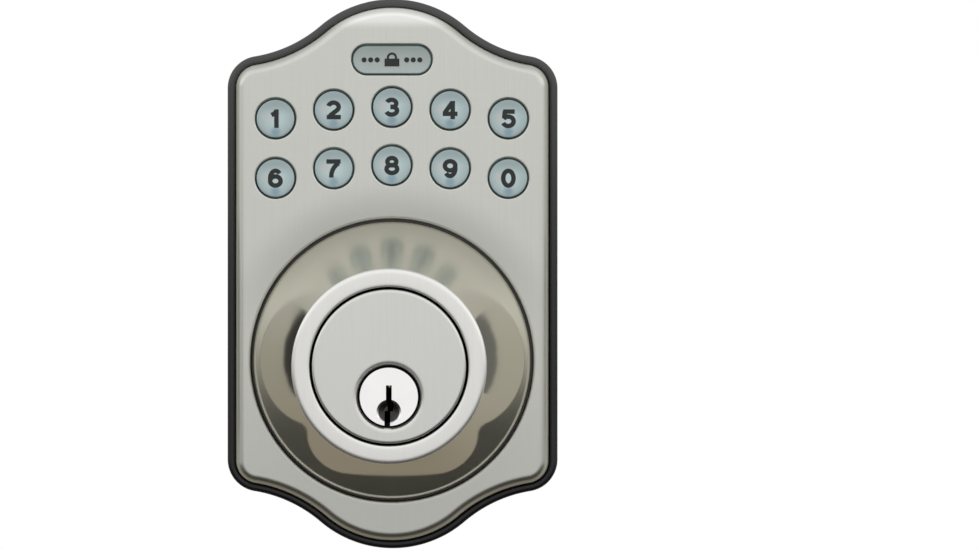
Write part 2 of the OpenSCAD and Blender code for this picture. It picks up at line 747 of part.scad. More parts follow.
module spindle_gear() {
    color([0.86, 0.84, 0.76]) difference() {
        union() {
            translate([0, 0, -plug_drop]) slab(y_spindle_wheel, y_spindle_wheel + spindle_wheel_t)
                rotate(reduction_dir) gear(spindle_teeth);
            rod(journal_r, yd + 0.5, y_spindle_wheel, 0, -plug_drop);
            rod(hub_r + 1.2, y_deck + 1.1, y_spindle_wheel, 0, -plug_drop);
            rod(hub_r, y_spindle_wheel, y_cover + 0.1, 0, -plug_drop);
            translate([0, 0, -plug_drop]) slab(y_cam, y_cam + 3) intersection() {
                circle(r = cam_r);
                polygon([[0, 0], [20, -9], [20, 9]]);
            }
        }
        block(-blade_t / 2 - 0.1, blade_t / 2 + 0.1, yd - 1, y_cam + 4.2,
              -plug_drop - blade_w / 2 - 0.1, -plug_drop + blade_w / 2 + 0.1);
        translate([0, 0, -plug_drop]) slab(y_cover - 10, y_cover + 1) square(6.2, center = true);
        rod(1.3, y_cam + 4, y_cover, 0, -plug_drop);
    }
}

module reduction_gear() {
    color([0.9, 0.88, 0.8]) translate([reduction_x, 0, reduction_z]) difference() {
        union() {
            slab(y_spindle_wheel, y_reduction + 0.1)
                rotate(reduction_dir + 180 + 180 / pinion_teeth) gear(pinion_teeth);
            slab(y_reduction, y_reduction + reduction_t) rotate(motor_dir) gear(wheel_teeth);
        }
        rod(axle_r + run_fit, y_spindle_wheel - 1, y_reduction + reduction_t + 1);
    }
}

module gear_axle() {
    color([0.75, 0.75, 0.75]) rod(axle_r, y_chassis + 0.6, y_motor + 1.2, reduction_x, reduction_z);
}

module motor_pinion() {
    color([0.8, 0.66, 0.34]) translate([motor_x, 0, motor_z]) difference() {
        slab(y_reduction - 0.3, y_reduction + reduction_t + 0.3)
            rotate(motor_dir + 180 + 180 / pinion_teeth) gear(pinion_teeth);
        rod(1, y_reduction - 1, y_reduction + reduction_t + 1);
    }
}

module motor() {
    color([0.72, 0.72, 0.72]) translate([motor_x, 0, motor_z]) {
        rod(motor_r, y_motor, y_motor + motor_len);
        rod(2.6, y_motor - 0.8, y_motor);
    }
}

module motor_bracket() {
    bar = 1.2;
    color([0.6, 0.6, 0.62]) difference() {
        union() {
            translate([motor_x, 0, motor_z]) rod(motor_r + bar, y_motor + 2, y_motor + 9);
            block(motor_x + 2, motor_x + motor_r + 7, y_motor + 2, y_motor + 9,
                  motor_z - 1.5, motor_z + 1.5);
            rod(2.6, y_deck, y_motor + 9, motor_x + motor_r + 5.5, motor_z);
        }
        translate([motor_x, 0, motor_z]) rod(motor_r + 0.02, y_motor, y_motor + 11);
    }
}

module turn_sensor() {
    color([0.1, 0.1, 0.1]) block(12.5, 22.5, y_cam, y_cam + 5, -13.5, -7.5);
    color([0.75, 0.75, 0.7]) block(9.6, 12.5, y_cam + 1, y_cam + 2.4, -12, -11);
}

module control_board() {
    color([0.1, 0.34, 0.22]) difference() {
        slab(y_control, y_control + board_t) translate([-control_half_w, control_z0])
            square([2 * control_half_w, control_z1 - control_z0]);
        for (s = [-1, 1]) for (z = [control_z0 + 3, control_z1 - 3])
            rod(1.2, y_control - 1, y_control + 3, s * (control_half_w - 3), z);
    }
}

module board_parts() {
    y0 = y_control + board_t;
    color([0.08, 0.08, 0.09]) {
        block(-9, 3, y0, y0 + 1.6, 38, 50);
        block(8, 16, y0, y0 + 1.4, 44, 49);
        block(10, 15, y0, y0 + 1.8, 32, 38);
        rod(3, y0, y0 + 2.4, -17, 54);
        block(-20, -14, y0, y0 + 2.2, 30, 35);
    }
}

module inside_connector() {
    color([0.9, 0.88, 0.8]) difference() {
        block(-4.5, 4.5, y_control - 3.5 + fit, y_control, control_z0 + 1.6, control_z0 + 7);
        translate([0, y_control - 1.8, control_z0]) cylinder(r = cable_r + fit, h = 4.2);
    }
}

function cell_x(i) = (i - 1.5) * cell_pitch;

module battery_tray() {
    color([0.17, 0.18, 0.19]) difference() {
        block(-tray_half_w, tray_half_w, y_tray, y_cell, tray_z0, tray_z1);
        for (i = [0:3]) translate([cell_x(i), y_cell, tray_z0 + tray_end_t])
            cylinder(r = cell_r + fit, h = tray_z1 - tray_z0 - 2 * tray_end_t);
        block(-tray_half_w + 1.6, tray_half_w - 1.6, y_cell - 2, y_cell + 1, tray_z0 + tray_end_t,
              tray_z0 + tray_end_t + 1.3);
        block(-tray_half_w + 1.6, tray_half_w - 1.6, y_cell - 2, y_cell + 1,
              tray_z1 - tray_end_t - 1.3, tray_z1 - tray_end_t);
    }
}

module battery_contacts() {
    z_low = tray_z0 + tray_end_t;
    z_high = tray_z1 - tray_end_t;
    color([0.75, 0.7, 0.5]) for (i = [0:3]) {
        up = i % 2;
        translate([cell_x(i), y_cell, 0]) {
            translate([0, 0, z_low + fit]) cylinder(r = 4.6, h = contact_t);
            translate([0, 0, z_high - fit - contact_t]) cylinder(r = 4.6, h = contact_t);
            translate([0, 0, up ? z_high - fit - contact_t - spring_h + 0.15 : z_low + fit + contact_t])
                rotate_extrude() translate([2.6, 0]) square([1, spring_h - 0.15]);
        }
    }
}

module battery_cells() {
    color([0.2, 0.42, 0.35]) for (i = [0:3]) translate([cell_x(i), y_cell, cell_z0 + cell_len / 2])
        mirror([0, 0, i % 2]) {
            translate([0, 0, -cell_len / 2]) cylinder(r = cell_r, h = cell_len - 1.2);
            translate([0, 0, cell_len / 2 - 1.2]) cylinder(r = 2.6, h = 1.2);
        }
}

// Upper or lower part of the inside cover
module cover_half(z0, z1) {
    intersection() {
        union() {
            slab(y_cover - 1, y_cover) outline(cover_inset + 0.8);
            slab(y_cover_in, y_cover - 1) outline(cover_inset);
            slab(yd + play, y_cover_in) outline_ring(cover_inset, cover_inset + cover_t);
        }
        block(-lock_w, lock_w, yd, y_cover + 1, z0, z1);
    }
}

module battery_door() {
    color([0.73, 0.73, 0.7]) difference() {
        cover_half(split_z + play / 2, lock_h);
        for (k = [0:4]) block(-9, 9, y_cover - 0.6, y_cover + 1, split_z + 5 + 2 * k, split_z + 6 + 2 * k);
    }
}

module inside_cover() {
    color([0.73, 0.73, 0.7]) difference() {
        cover_half(-lock_h, split_z - play / 2);
        rod(hub_r + play, y_cover_in - 1, y_cover + 1, 0, -plug_drop);
        for (s = [-1, 1]) {
            rod(screw_r + fit, y_cover_in - 1, y_cover + 1, s * cover_screw_x, cover_screw_z);
            rod(screw_head_r + 0.2, y_cover - 1, y_cover + 1, s * cover_screw_x, cover_screw_z);
        }
    }
}

module cover_screws() {
    color([0.7, 0.7, 0.68]) for (s = [-1, 1])
        screw(s * cover_screw_x, cover_screw_z, y_cover - 1, 9, screw_r - 0.05, screw_head_r, 1.2);
}

module thumb_turn() {
    y1 = y_turn + turn_disc_t;
    color([0.76, 0.76, 0.73]) difference() {
        union() {
            rod(turn_disc_r, y_turn, y1, 0, -plug_drop);
            translate([0, 0, -plug_drop]) {
                slab(y1, y1 + turn_h) rotate(90) stadium(turn_len, turn_w);
                slab(y_cover - 9, y_turn + 0.1) square(6, center = true);
            }
        }
        for (s = [-1, 1]) translate([s * (turn_w / 2 + 9.2), 0, -plug_drop])
            slab(y1 + 3, y1 + turn_h + 1) rotate(90) stadium(3 * turn_len, 20);
        rod(1.7, y_cover - 10, y1 + turn_h + 1, 0, -plug_drop);
        rod(3, y1 + turn_h - 5, y1 + turn_h + 1, 0, -plug_drop);
    }
}

module thumb_screw() {
    y_seat = y_turn + turn_disc_t + turn_h - 5;
    color([0.7, 0.7, 0.68])
        screw(0, -plug_drop, y_seat, y_seat - y_cam - 6, 1.25, 2.8, 2);
}

door_gasket();
base_housing();
support_ring();
front_plate();
plate_screws();
indicator_lens();
status_light();
keypad_mat();
keypad_board();
board_screws();
key_lights();
radio_module();
outside_connector();
collar_seal();
collar_flare();
collar_ring();
collar_lip();
cylinder_body();
plug();
plug_tail();
plug_clip();
key_pins();
driver_pins();
pin_springs();
spring_cover();
torque_blade();
cable();
for (i = [0:9]) key_cap(i);
mount_plate();
through_bolts();
mount_screws();
chassis();
spindle_bush();
spindle_gear();
reduction_gear();
gear_axle();
motor();
motor_pinion();
motor_bracket();
turn_sensor();
control_board();
board_parts();
inside_connector();
battery_tray();
battery_contacts();
battery_cells();
battery_door();
inside_cover();
cover_screws();
thumb_turn();
thumb_screw();
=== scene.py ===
import json
import math

import bmesh
import bpy
from mathutils import Matrix, Vector
from mathutils.geometry import tessellate_polygon


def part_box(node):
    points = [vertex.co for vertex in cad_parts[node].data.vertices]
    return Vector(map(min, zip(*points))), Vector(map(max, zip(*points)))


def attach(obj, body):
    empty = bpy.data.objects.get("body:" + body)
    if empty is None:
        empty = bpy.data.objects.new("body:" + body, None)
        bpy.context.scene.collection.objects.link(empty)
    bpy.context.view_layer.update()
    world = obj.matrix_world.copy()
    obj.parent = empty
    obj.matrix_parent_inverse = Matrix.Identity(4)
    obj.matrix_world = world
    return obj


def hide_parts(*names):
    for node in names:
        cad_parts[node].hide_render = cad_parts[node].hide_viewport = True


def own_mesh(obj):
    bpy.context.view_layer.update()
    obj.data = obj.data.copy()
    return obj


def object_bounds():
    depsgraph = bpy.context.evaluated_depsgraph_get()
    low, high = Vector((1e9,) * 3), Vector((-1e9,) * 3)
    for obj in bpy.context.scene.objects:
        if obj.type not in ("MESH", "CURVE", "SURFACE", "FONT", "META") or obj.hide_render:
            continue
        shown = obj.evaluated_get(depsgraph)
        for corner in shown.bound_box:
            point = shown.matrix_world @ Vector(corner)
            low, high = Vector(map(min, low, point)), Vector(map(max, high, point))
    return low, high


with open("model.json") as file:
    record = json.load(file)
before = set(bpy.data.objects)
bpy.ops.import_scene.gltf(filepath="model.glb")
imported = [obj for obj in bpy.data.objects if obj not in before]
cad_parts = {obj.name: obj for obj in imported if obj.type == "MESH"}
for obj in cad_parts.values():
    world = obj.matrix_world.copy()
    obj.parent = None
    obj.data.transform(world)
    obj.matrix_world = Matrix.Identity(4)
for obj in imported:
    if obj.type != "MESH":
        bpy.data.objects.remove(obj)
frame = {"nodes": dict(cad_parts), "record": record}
cad_low, cad_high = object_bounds()

MM = 0.001
KEY_NAMES = "1234567890"

# Outline of the lock, in millimetres from the cross-bore axis
LOCK_W = 79.0
LOCK_H = 131.5
MID_Z = 20.4
CROWN_R = 26.6
CROWN_ANGLE = 40.5
FLARE_R = 32.3
CORNER_R = 7.7
CROWN_Z = LOCK_H / 2 - CROWN_R
FLARE_X = (CROWN_R + FLARE_R) * math.sin(math.radians(CROWN_ANGLE))
FLARE_Z = CROWN_Z + (CROWN_R + FLARE_R) * math.cos(math.radians(CROWN_ANGLE))
CORNER_X = LOCK_W / 2 - CORNER_R
CORNER_Z = FLARE_Z - math.sqrt((FLARE_R + CORNER_R) ** 2 - (CORNER_X - FLARE_X) ** 2)

# Outside unit: depths along Y and radii
GASKET_BACK = -1.5
FLOOR_FRONT = -3.5
RIM_FRONT = -13.0
RIM_W = 2.0
PLATE_FRONT = -18.0
PLATE_BACK = -16.0
PLATE_EDGE = 2.22
PLATE_ROLL = 2.35
SKIRT_T = 1.6
DISH_HOLE_R = 33.5
KEY_HOLE_R = 4.7
KEY_BEVEL = 0.55
KEY_R = 4.56
KEY_TOP = -18.4
WINDOW_Z = 71.25
WINDOW_W = 18.9
WINDOW_H = 6.95
PLUG_Z = -6.8
MAT_T = 1.0
MAT_POST_R = 3.1
MAT_POST_INSET = 1.8
DOME_R = 3.78
COLLAR_R = 22.25
COLLAR_BASE_R = 32.9
COLLAR_RIM_Y = -18.05
COLLAR_T = 1.6
RING_FRONT = -43.5
RING_BACK = -38.5
RING_BORE = 17.9
CROSS_HOLE_R = 27.0

# Cylinder: depths along Y and radii
CYLINDER_FACE = -44.0
CYLINDER_R = 17.5
NECK_FRONT = -40.2
NECK_BACK = -36.5
NECK_R = 14.8
SHOULDER_R = 19.5
SHOULDER_BACK = -9.5
PLUG_BORE = 6.06
FLANGE_FRONT = -9.45
FLANGE_BACK = -5.5
FLANGE_R = 23.5
FLANGE_HALF = 16.0
BOLT_X = 17.5
POST_R = 3.85
POST_BORE = 2.5

# Inside unit
COVER_INSET = 1.0
COVER_T = 2.0
COVER_DOOR = 44.8
COVER_FACE = 76.5
SPLIT_Z = 14.3
SPLIT_GAP = 0.3


def rgb(red, green, blue):
    """Linear colour of an 8-bit display colour."""
    parts = [c / 255 for c in (red, green, blue)]
    return tuple(c / 12.92 if c < 0.04045 else ((c + 0.055) / 1.055) ** 2.4 for c in parts) + (1.0,)


def scaled(colour, by):
    return tuple(min(1.0, c * by) for c in colour[:3]) + (1.0,)


# ---------- materials ----------


class Wire:
    """An output socket. Arithmetic on it adds the Math nodes that work it out."""

    def __init__(self, paint, socket):
        self.paint = paint
        self.socket = socket

    def math(self, operation, *values):
        return self.paint.math(operation, self, *values)

    def __add__(self, other):
        return self.math("ADD", other)

    def __sub__(self, other):
        return self.math("SUBTRACT", other)

    def __mul__(self, other):
        return self.math("MULTIPLY", other)

    def __pow__(self, other):
        return self.math("POWER", other)

    def __rsub__(self, other):
        return self.paint.math("SUBTRACT", other, self)

    __radd__ = __add__


class Paint:
    """One node tree, of a material or of the world, and the ways to add to it."""

    def __init__(self, name, **values):
        self.material = bpy.data.materials.new(name)
        self.material.use_nodes = True
        self.tree = self.material.node_tree
        self.surface = self.tree.nodes["Principled BSDF"]
        for key, value in values.items():
            self.feed(key.replace("_", " "), value)

    def node(self, kind, settings=None, sockets=None, output=0):
        made = self.tree.nodes.new(kind)
        for key, value in (settings or {}).items():
            if key == "stops":
                self.set_stops(made.color_ramp, value)
            else:
                setattr(made, key, value)
        for key, value in (sockets or {}).items():
            self.put(made.inputs[key], value)
        return Wire(self, made.outputs[output])

    def put(self, socket, value):
        if isinstance(value, Wire):
            self.tree.links.new(value.socket, socket)
        else:
            socket.default_value = value

    def feed(self, name, value):
        self.put(self.surface.inputs[name], value)

    @staticmethod
    def set_stops(ramp, stops):
        while len(ramp.elements) < len(stops):
            ramp.elements.new(0.5)
        for element, (position, colour) in zip(ramp.elements, stops):
            element.position = position
            element.color = colour

    def math(self, operation, *values):
        return self.node("ShaderNodeMath", {"operation": operation}, dict(enumerate(values)))

    def vector(self, operation, *values, output=0):
        return self.node("ShaderNodeVectorMath", {"operation": operation}, dict(enumerate(values)), output)

    def place(self):
        return self.node("ShaderNodeTexCoord", output="Object")

    def stretch(self, by):
        return self.vector("MULTIPLY", self.place(), by)

    def noise(self, vector, scale, detail=3.0, roughness=0.5):
        return self.node("ShaderNodeTexNoise", {}, {"Vector": vector, "Scale": scale, "Detail": detail,
                                                    "Roughness": roughness})

    def ramp(self, value, stops):
        return self.node("ShaderNodeValToRGB", {"stops": stops}, {0: value})

    def mix(self, factor, first, second, blend="MIX"):
        return self.node("ShaderNodeMix", {"data_type": "RGBA", "blend_type": blend},
                         {0: factor, 6: first, 7: second}, 2)

    def remap(self, value, low, high):
        """0 below low, 1 above high, smooth between."""
        return self.node("ShaderNodeMapRange", {"interpolation_type": "SMOOTHSTEP"},
                         {0: value, 1: low, 2: high})

    def bump(self, height, strength, distance):
        return self.node("ShaderNodeBump", {}, {"Height": height, "Strength": strength, "Distance": distance})

    def edges(self):
        """1 on worn outer edges, 0 elsewhere."""
        return self.remap(self.node("ShaderNodeNewGeometry", output="Pointiness"), 0.505, 0.56)


def brushed_metal(name, colour, roughness, grain=(9000, 9000, 260), depth=0.10, wear=0.35):
    """Metal brushed along one direction: fine streaks in height, shine and tone, cloudy tone, worn edges."""
    paint = Paint(name, Metallic=0.85)
    streaks = paint.noise(paint.stretch(grain), 1.0, 3.0, 0.65)
    cloud = paint.noise(paint.place(), 55.0, 4.0, 0.6)
    long = paint.noise(paint.stretch((grain[0] * 0.28, grain[1] * 0.28, grain[2] * 0.12)), 1.0, 2.0, 0.6)
    tone = paint.mix(streaks * 0.5 + long * 0.5 + cloud * 0.35 - 0.15,
                     scaled(colour, 0.90), scaled(colour, 1.06))
    shine = roughness + (streaks - 0.5) * 0.14 + (cloud - 0.5) * 0.08
    if wear > 0:
        worn = paint.edges()
        tone = paint.mix(worn * wear, tone, scaled(colour, 1.2))
        shine = shine - worn * 0.06
    paint.feed("Base Color", tone)
    paint.feed("Roughness", shine)
    paint.feed("Normal", paint.bump(streaks, depth, 0.00002))
    return paint.material


def plate_paint(name, colour):
    """Vertically brushed satin plate: painted highlight paler towards the crown, painted shade darker towards
    the foot.
    """
    paint = Paint(name, Metallic=0.95)
    place = paint.place()
    height = paint.node("ShaderNodeSeparateXYZ", {}, {0: place}, "Z")
    fine = paint.noise(paint.stretch((9000, 9000, 260)), 1.0, 3.0, 0.65)
    long = paint.noise(paint.stretch((2300, 2300, 34)), 1.0, 3.0, 0.6)
    cross = paint.noise(paint.stretch((120, 120, 2600)), 1.0, 2.0, 0.5)
    cloud = paint.noise(place, 42.0, 3.0, 0.55)
    # painted highlight: the crown's top edge mixed towards a pale tone
    crown = paint.remap(height, 0.0783, 0.0812)
    # painted shade: darker towards the foot
    foot = 1 - paint.remap(height, -0.046, 0.010)
    # painted shade: darker round the upper half of the dish hole
    around = paint.vector("LENGTH", paint.vector("MULTIPLY", place, (1, 0, 1)), output="Value")
    near = (1 - paint.remap(around, 0.0335, 0.0440)) * paint.remap(height, 0.0, 0.034)
    tone = paint.mix(fine * 0.35 + long * 0.55 + cross * 0.2 + cloud * 0.25 - 0.2,
                     scaled(colour, 0.85), scaled(colour, 1.08))
    tone = paint.mix(crown * 0.95, tone, (0.93, 0.925, 0.90, 1))
    tone = paint.mix(foot * 0.4, tone, scaled(colour, 0.80))
    tone = paint.mix(near * 0.95, tone, scaled(colour, 0.72))
    paint.feed("Base Color", tone)
    paint.feed("Roughness", 0.36 + (fine - 0.5) * 0.14 + (long - 0.5) * 0.08 + (cloud - 0.5) * 0.06)
    paint.feed("Normal", paint.bump(fine * 0.6 + long * 0.4, 0.11, 0.00002))
    return paint.material


def turned_metal(name, colour, roughness):
    """Metal finished on a lathe: faint rings about the Y axis, fine scratches,
    and a haze from handling on the upper half, under the keys."""
    paint = Paint(name, Metallic=1.0)
    flat = paint.vector("MULTIPLY", paint.place(), (1, 0, 1))
    radius = paint.vector("LENGTH", flat, output="Value")
    depth = paint.node("ShaderNodeSeparateXYZ", {}, {0: paint.place()}, "Y")
    across = paint.node("ShaderNodeCombineXYZ", {}, {"X": radius * 5200, "Y": depth * 5200})
    lines = paint.noise(across, 1.0, 2.0)
    haze = paint.noise(paint.place(), 70.0, 5.0, 0.6)
    scratches = paint.noise(paint.stretch((2600, 900, 700)), 1.0, 2.0)
    tone = paint.mix(haze * 0.6 + lines * 0.3, scaled(colour, 0.94), scaled(colour, 1.05))
    paint.feed("Base Color", tone)
    height = paint.node("ShaderNodeSeparateXYZ", {}, {0: paint.place()}, "Z")
    handled = paint.remap(height, 0.007, 0.022) * 0.16
    paint.feed("Roughness", roughness + handled + (haze - 0.5) * 0.05 + (scratches - 0.5) * 0.05)
    paint.feed("Normal", paint.bump(lines, 0.04, 0.00002))
    return paint.material


def moulded(name, colour, roughness, texture=0.15, size=2600.0, coat=0.0, wear=0.25, glint=0.5):
    """Moulded plastic or rubber: spark-eroded texture, mottled shine, edges rubbed smoother and paler."""
    paint = Paint(name, Coat_Weight=coat, Specular_IOR_Level=glint)
    pits = paint.noise(paint.place(), size, 3.0, 0.6)
    mottle = paint.noise(paint.place(), 120.0, 4.0, 0.55)
    worn = paint.edges()
    tone = paint.mix(mottle, scaled(colour, 0.86), scaled(colour, 1.12))
    paint.feed("Base Color", paint.mix(worn * wear, tone, scaled(colour, 1.7)))
    paint.feed("Roughness", roughness + (mottle - 0.5) * 0.14 + (pits - 0.5) * 0.08 - worn * 0.08)
    paint.feed("Normal", paint.bump(pits, texture, 0.00003))
    return paint.material


def case_paint(name, colour):
    """Black moulded case: finely textured, with painted top light that greys and shines it towards the crown.
    """
    paint = Paint(name)
    pits = paint.noise(paint.place(), 2600.0, 3.0, 0.6)
    mottle = paint.noise(paint.place(), 120.0, 4.0, 0.55)
    height = paint.node("ShaderNodeSeparateXYZ", {}, {0: paint.place()}, "Z")
    # painted top light: the case paler and more coated towards the top, as if lit from above
    painted_top_light = paint.remap(height, -0.046, 0.086)
    tone = paint.mix(mottle, scaled(colour, 0.8), scaled(colour, 1.2))
    paint.feed("Base Color", paint.mix(painted_top_light ** 2.5 * 0.8, tone, rgb(66, 68, 67)))
    paint.feed("Coat Weight", painted_top_light ** 2.5 * 0.35)
    paint.feed("Roughness", 0.38 + (mottle - 0.5) * 0.14 + (pits - 0.5) * 0.08)
    paint.feed("Normal", paint.bump(pits, 0.12, 0.00003))
    return paint.material


def plug_paint(name, colour):
    """Polished plug with fine scratches; painted shade keeps the keyway dark."""
    paint = Paint(name, Metallic=1.0)
    depth = paint.node("ShaderNodeSeparateXYZ", {}, {0: paint.place()}, "Y")
    # painted shade: the keyway deeper than the ring's front goes near-black and rougher
    inside = paint.remap(depth, RING_FRONT * MM - 0.00092, RING_FRONT * MM - 0.0006)
    scratches = paint.noise(paint.stretch((1500, 1500, 400)), 1.0, 4.0, 0.7)
    haze = paint.noise(paint.place(), 160.0, 3.0)
    tone = paint.mix(haze, scaled(colour, 0.95), scaled(colour, 1.04))
    paint.feed("Base Color", paint.mix(inside * 0.93, tone, rgb(20, 16, 14)))
    paint.feed("Roughness", 0.14 + (scratches - 0.5) * 0.1 + inside * 0.3)
    paint.feed("Normal", paint.bump(scratches, 0.04, 0.00002))
    return paint.material


def key_cap_paint(name, colour):
    """Translucent pale key: rings of tone, a blue glow under the figure and a warm patch beside it."""
    paint = Paint(name, Coat_Weight=0.6, Coat_Roughness=0.3, IOR=1.5)
    flat = paint.vector("MULTIPLY", paint.place(), (1, 0, 1))
    radius = paint.vector("LENGTH", flat, output="Value") * 1000
    rings = paint.math("SINE", radius * 9.0) * 0.5 + 0.5
    cloud = paint.noise(paint.place(), 420.0, 3.0)
    from_glow = paint.vector("DISTANCE", flat, (0, 0, -0.0031), output="Value")
    from_warm = paint.vector("DISTANCE", flat, (-0.0021, 0, 0.0002), output="Value")
    glow = 1 - paint.remap(from_glow, 0.0003, 0.0017)
    warm = 1 - paint.remap(from_warm, 0.0002, 0.0019)
    pale = paint.mix(paint.remap(radius, 1.0, 4.5), scaled(colour, 1.32), scaled(colour, 0.92))
    tone = paint.mix(rings * 0.16 + cloud * 0.22, pale, scaled(colour, 1.18))
    # painted shade: the upper part of the cap darker
    upper = paint.node("ShaderNodeSeparateXYZ", {}, {0: paint.place()}, "Z")
    tone = paint.mix(paint.remap(upper, 0.0004, 0.0042) * 0.9, tone, scaled(colour, 0.74))
    tone = paint.mix(warm * 0.5, tone, rgb(222, 214, 208))
    paint.feed("Base Color", paint.mix(glow * 0.7, tone, rgb(128, 168, 190)))
    paint.feed("Roughness", 0.34 + (cloud - 0.5) * 0.12)
    paint.feed("Normal", paint.bump(paint.noise(paint.place(), 3800.0, 2.0), 0.05, 0.00002))
    return paint.material


def board_paint(name):
    """Green solder mask over copper tracks."""
    paint = Paint(name, Coat_Weight=0.5, Coat_Roughness=0.2)
    cells = paint.node("ShaderNodeTexBrick", {"offset": 0.37, "squash": 0.6, "squash_frequency": 3},
                       {"Vector": paint.node("ShaderNodeMapping", {}, {"Vector": paint.place(),
                                                                       "Rotation": (math.pi / 2, 0, 0)}),
                        "Scale": 190.0, "Mortar Size": 0.03, "Mortar Smooth": 0.2}, "Fac")
    grain = paint.noise(paint.place(), 900.0, 4.0)
    tone = paint.mix(grain * 0.5, rgb(14, 62, 38), rgb(24, 92, 56))
    paint.feed("Base Color", paint.mix(cells * 0.7, tone, rgb(66, 132, 78)))
    paint.feed("Roughness", 0.35 + (grain - 0.5) * 0.2)
    paint.feed("Normal", paint.bump(cells, 0.3, 0.00004))
    return paint.material


def wrapped(name, sleeve, band):
    """Printed film round a cell: a dark sleeve with a coloured end band, creased and glossy."""
    paint = Paint(name, Coat_Weight=0.4, Coat_Roughness=0.15)
    height = paint.node("ShaderNodeSeparateXYZ", {}, {0: paint.place()}, "Z")
    creases = paint.noise(paint.stretch((300, 300, 60)), 1.0, 4.0)
    end = paint.remap(height, 0.0500, 0.0503)
    tone = paint.mix(end, sleeve, band)
    paint.feed("Base Color", paint.mix(creases * 0.25, tone, rgb(200, 205, 200)))
    paint.feed("Roughness", 0.25 + creases * 0.15)
    paint.feed("Normal", paint.bump(creases, 0.2, 0.0001))
    return paint.material


SATIN = (0.70, 0.70, 0.675, 1.0)
PAINTS = {
    "satin_nickel": brushed_metal("satin_nickel_brushed", SATIN, 0.36, depth=0.06, wear=0.0),
    "plate_satin": plate_paint("plate_satin_brushed", (0.69, 0.695, 0.65, 1.0)),
    "polished_nickel": turned_metal("polished_nickel_turned", (0.70, 0.675, 0.595, 1.0), 0.07),
    "plug_nickel": plug_paint("plug_nickel_polished", (0.94, 0.925, 0.915, 1.0)),
    "black_plastic": moulded("black_plastic_moulded", rgb(29, 31, 31), 0.38, 0.12, 2600.0, 0.15, 0.05),
    "case_black": case_paint("case_black_moulded", rgb(15, 17, 18)),
    "black_rubber": moulded("black_rubber_sheet", rgb(26, 26, 27), 0.75, 0.3, 1400.0),
    "key_plastic": key_cap_paint("key_translucent", rgb(188, 208, 211)),
    "lens_plastic": moulded("window_smoked", rgb(188, 200, 198), 0.22, 0.05, 3000.0, 0.4, 0.0),
    "silicone": moulded("silicone_pad", rgb(205, 212, 212), 0.55, 0.1, 1800.0),
    "board": board_paint("board_solder_mask"),
    "parts": moulded("chip_epoxy", rgb(30, 30, 33), 0.5, 0.3, 4200.0),
    "light": moulded("lamp_resin", rgb(232, 235, 220), 0.15, 0.02, 900.0, 0.8),
    "radio": moulded("radio_board", rgb(40, 60, 120), 0.3, 0.1, 1500.0, 0.4),
    "connector": moulded("connector_nylon", rgb(226, 222, 205), 0.45, 0.1, 2000.0),
    "gear_nylon": moulded("gear_acetal", rgb(224, 219, 200), 0.38, 0.08, 2400.0),
    "brass": brushed_metal("brass_drawn", (0.78, 0.60, 0.28, 1.0), 0.26, (3000, 3000, 3000), 0.08),
    "steel": brushed_metal("steel_plated", (0.62, 0.62, 0.60, 1.0), 0.28, (2400, 2400, 2400), 0.08),
    "wire": moulded("wire_sheath", rgb(30, 30, 31), 0.45, 0.1, 1600.0),
    "cell_wrap": wrapped("cell_film", rgb(36, 82, 70), rgb(176, 128, 60)),
    "ring_satin": brushed_metal("ring_satin", (0.90, 0.895, 0.87, 1.0), 0.32, (9000, 9000, 260), 0.06, 0.0),
    "face_satin": brushed_metal("face_satin", (0.765, 0.77, 0.735, 1.0), 0.33, (9000, 9000, 300), 0.08, 0.0),
    # painted shade: dark teal on the rounded edges of the key caps and the window lens, for the shade in the
    # gaps round them
    "key_rim": moulded("key_rim_painted_shade", rgb(104, 130, 130), 0.3, 0.03, 3000.0, 0.3, 0.0),
    "groove": moulded("groove_shadow", rgb(10, 14, 24), 0.7, 0.03, 3000.0, 0.0, 0.0, 0.15),
    "ink": moulded("ink_printed", rgb(33, 37, 38), 0.55, 0.1, 5200.0, 0.0, 0.0),
}


# ---------- shapes ----------


def arc(centre, radius, start, end, steps):
    """Points of an arc, in degrees from +X."""
    turns = [math.radians(start + (end - start) * i / steps) for i in range(steps + 1)]
    return [(centre[0] + radius * math.cos(a), centre[1] + radius * math.sin(a)) for a in turns]


def outline(inset, steps=26):
    """The lock's outline moved in by inset, as x, z points all the way round."""
    to_crown = 270 - CROWN_ANGLE
    to_corner = math.degrees(math.atan2(CORNER_Z - FLARE_Z, CORNER_X - FLARE_X)) + 360
    to_flare = math.degrees(math.atan2(FLARE_Z - CORNER_Z, FLARE_X - CORNER_X))
    crown = arc((0, CROWN_Z), CROWN_R - inset, 90, 90 - CROWN_ANGLE, steps)
    flare = arc((FLARE_X, FLARE_Z), FLARE_R + inset, to_crown, to_corner, steps)
    corner = arc((CORNER_X, CORNER_Z), CORNER_R - inset, to_flare, 0, steps)
    quarter = crown + flare[1:] + corner[1:]
    right = quarter + [(x, -z) for x, z in reversed(quarter)]
    left = [(-x, z) for x, z in reversed(right[1:-1])]
    return [(x, z + MID_Z) for x, z in right + left]


def ring_points(x, z, radius, count=64):
    turns = [2 * math.pi * i / count for i in range(count)]
    return [(x + radius * math.cos(a), z + radius * math.sin(a)) for a in turns]


def stadium_points(z, width, height, steps=20):
    half = (width - height) / 2
    right = arc((half, z), height / 2, -90, 90, steps)
    left = arc((-half, z), height / 2, 90, 270, steps)
    return right + left


def rolled(start, end, steps=8, power=2.0):
    """Quarter of a rounded edge, from start, where it leaves along the first axis, to end."""
    points = []
    for i in range(steps + 1):
        a = math.pi / 2 * i / steps
        u = 1 - max(0.0, math.cos(a)) ** (2 / power)
        v = max(0.0, math.sin(a)) ** (2 / power)
        points.append((start[0] + (end[0] - start[0]) * v, start[1] + (end[1] - start[1]) * u))
    return points


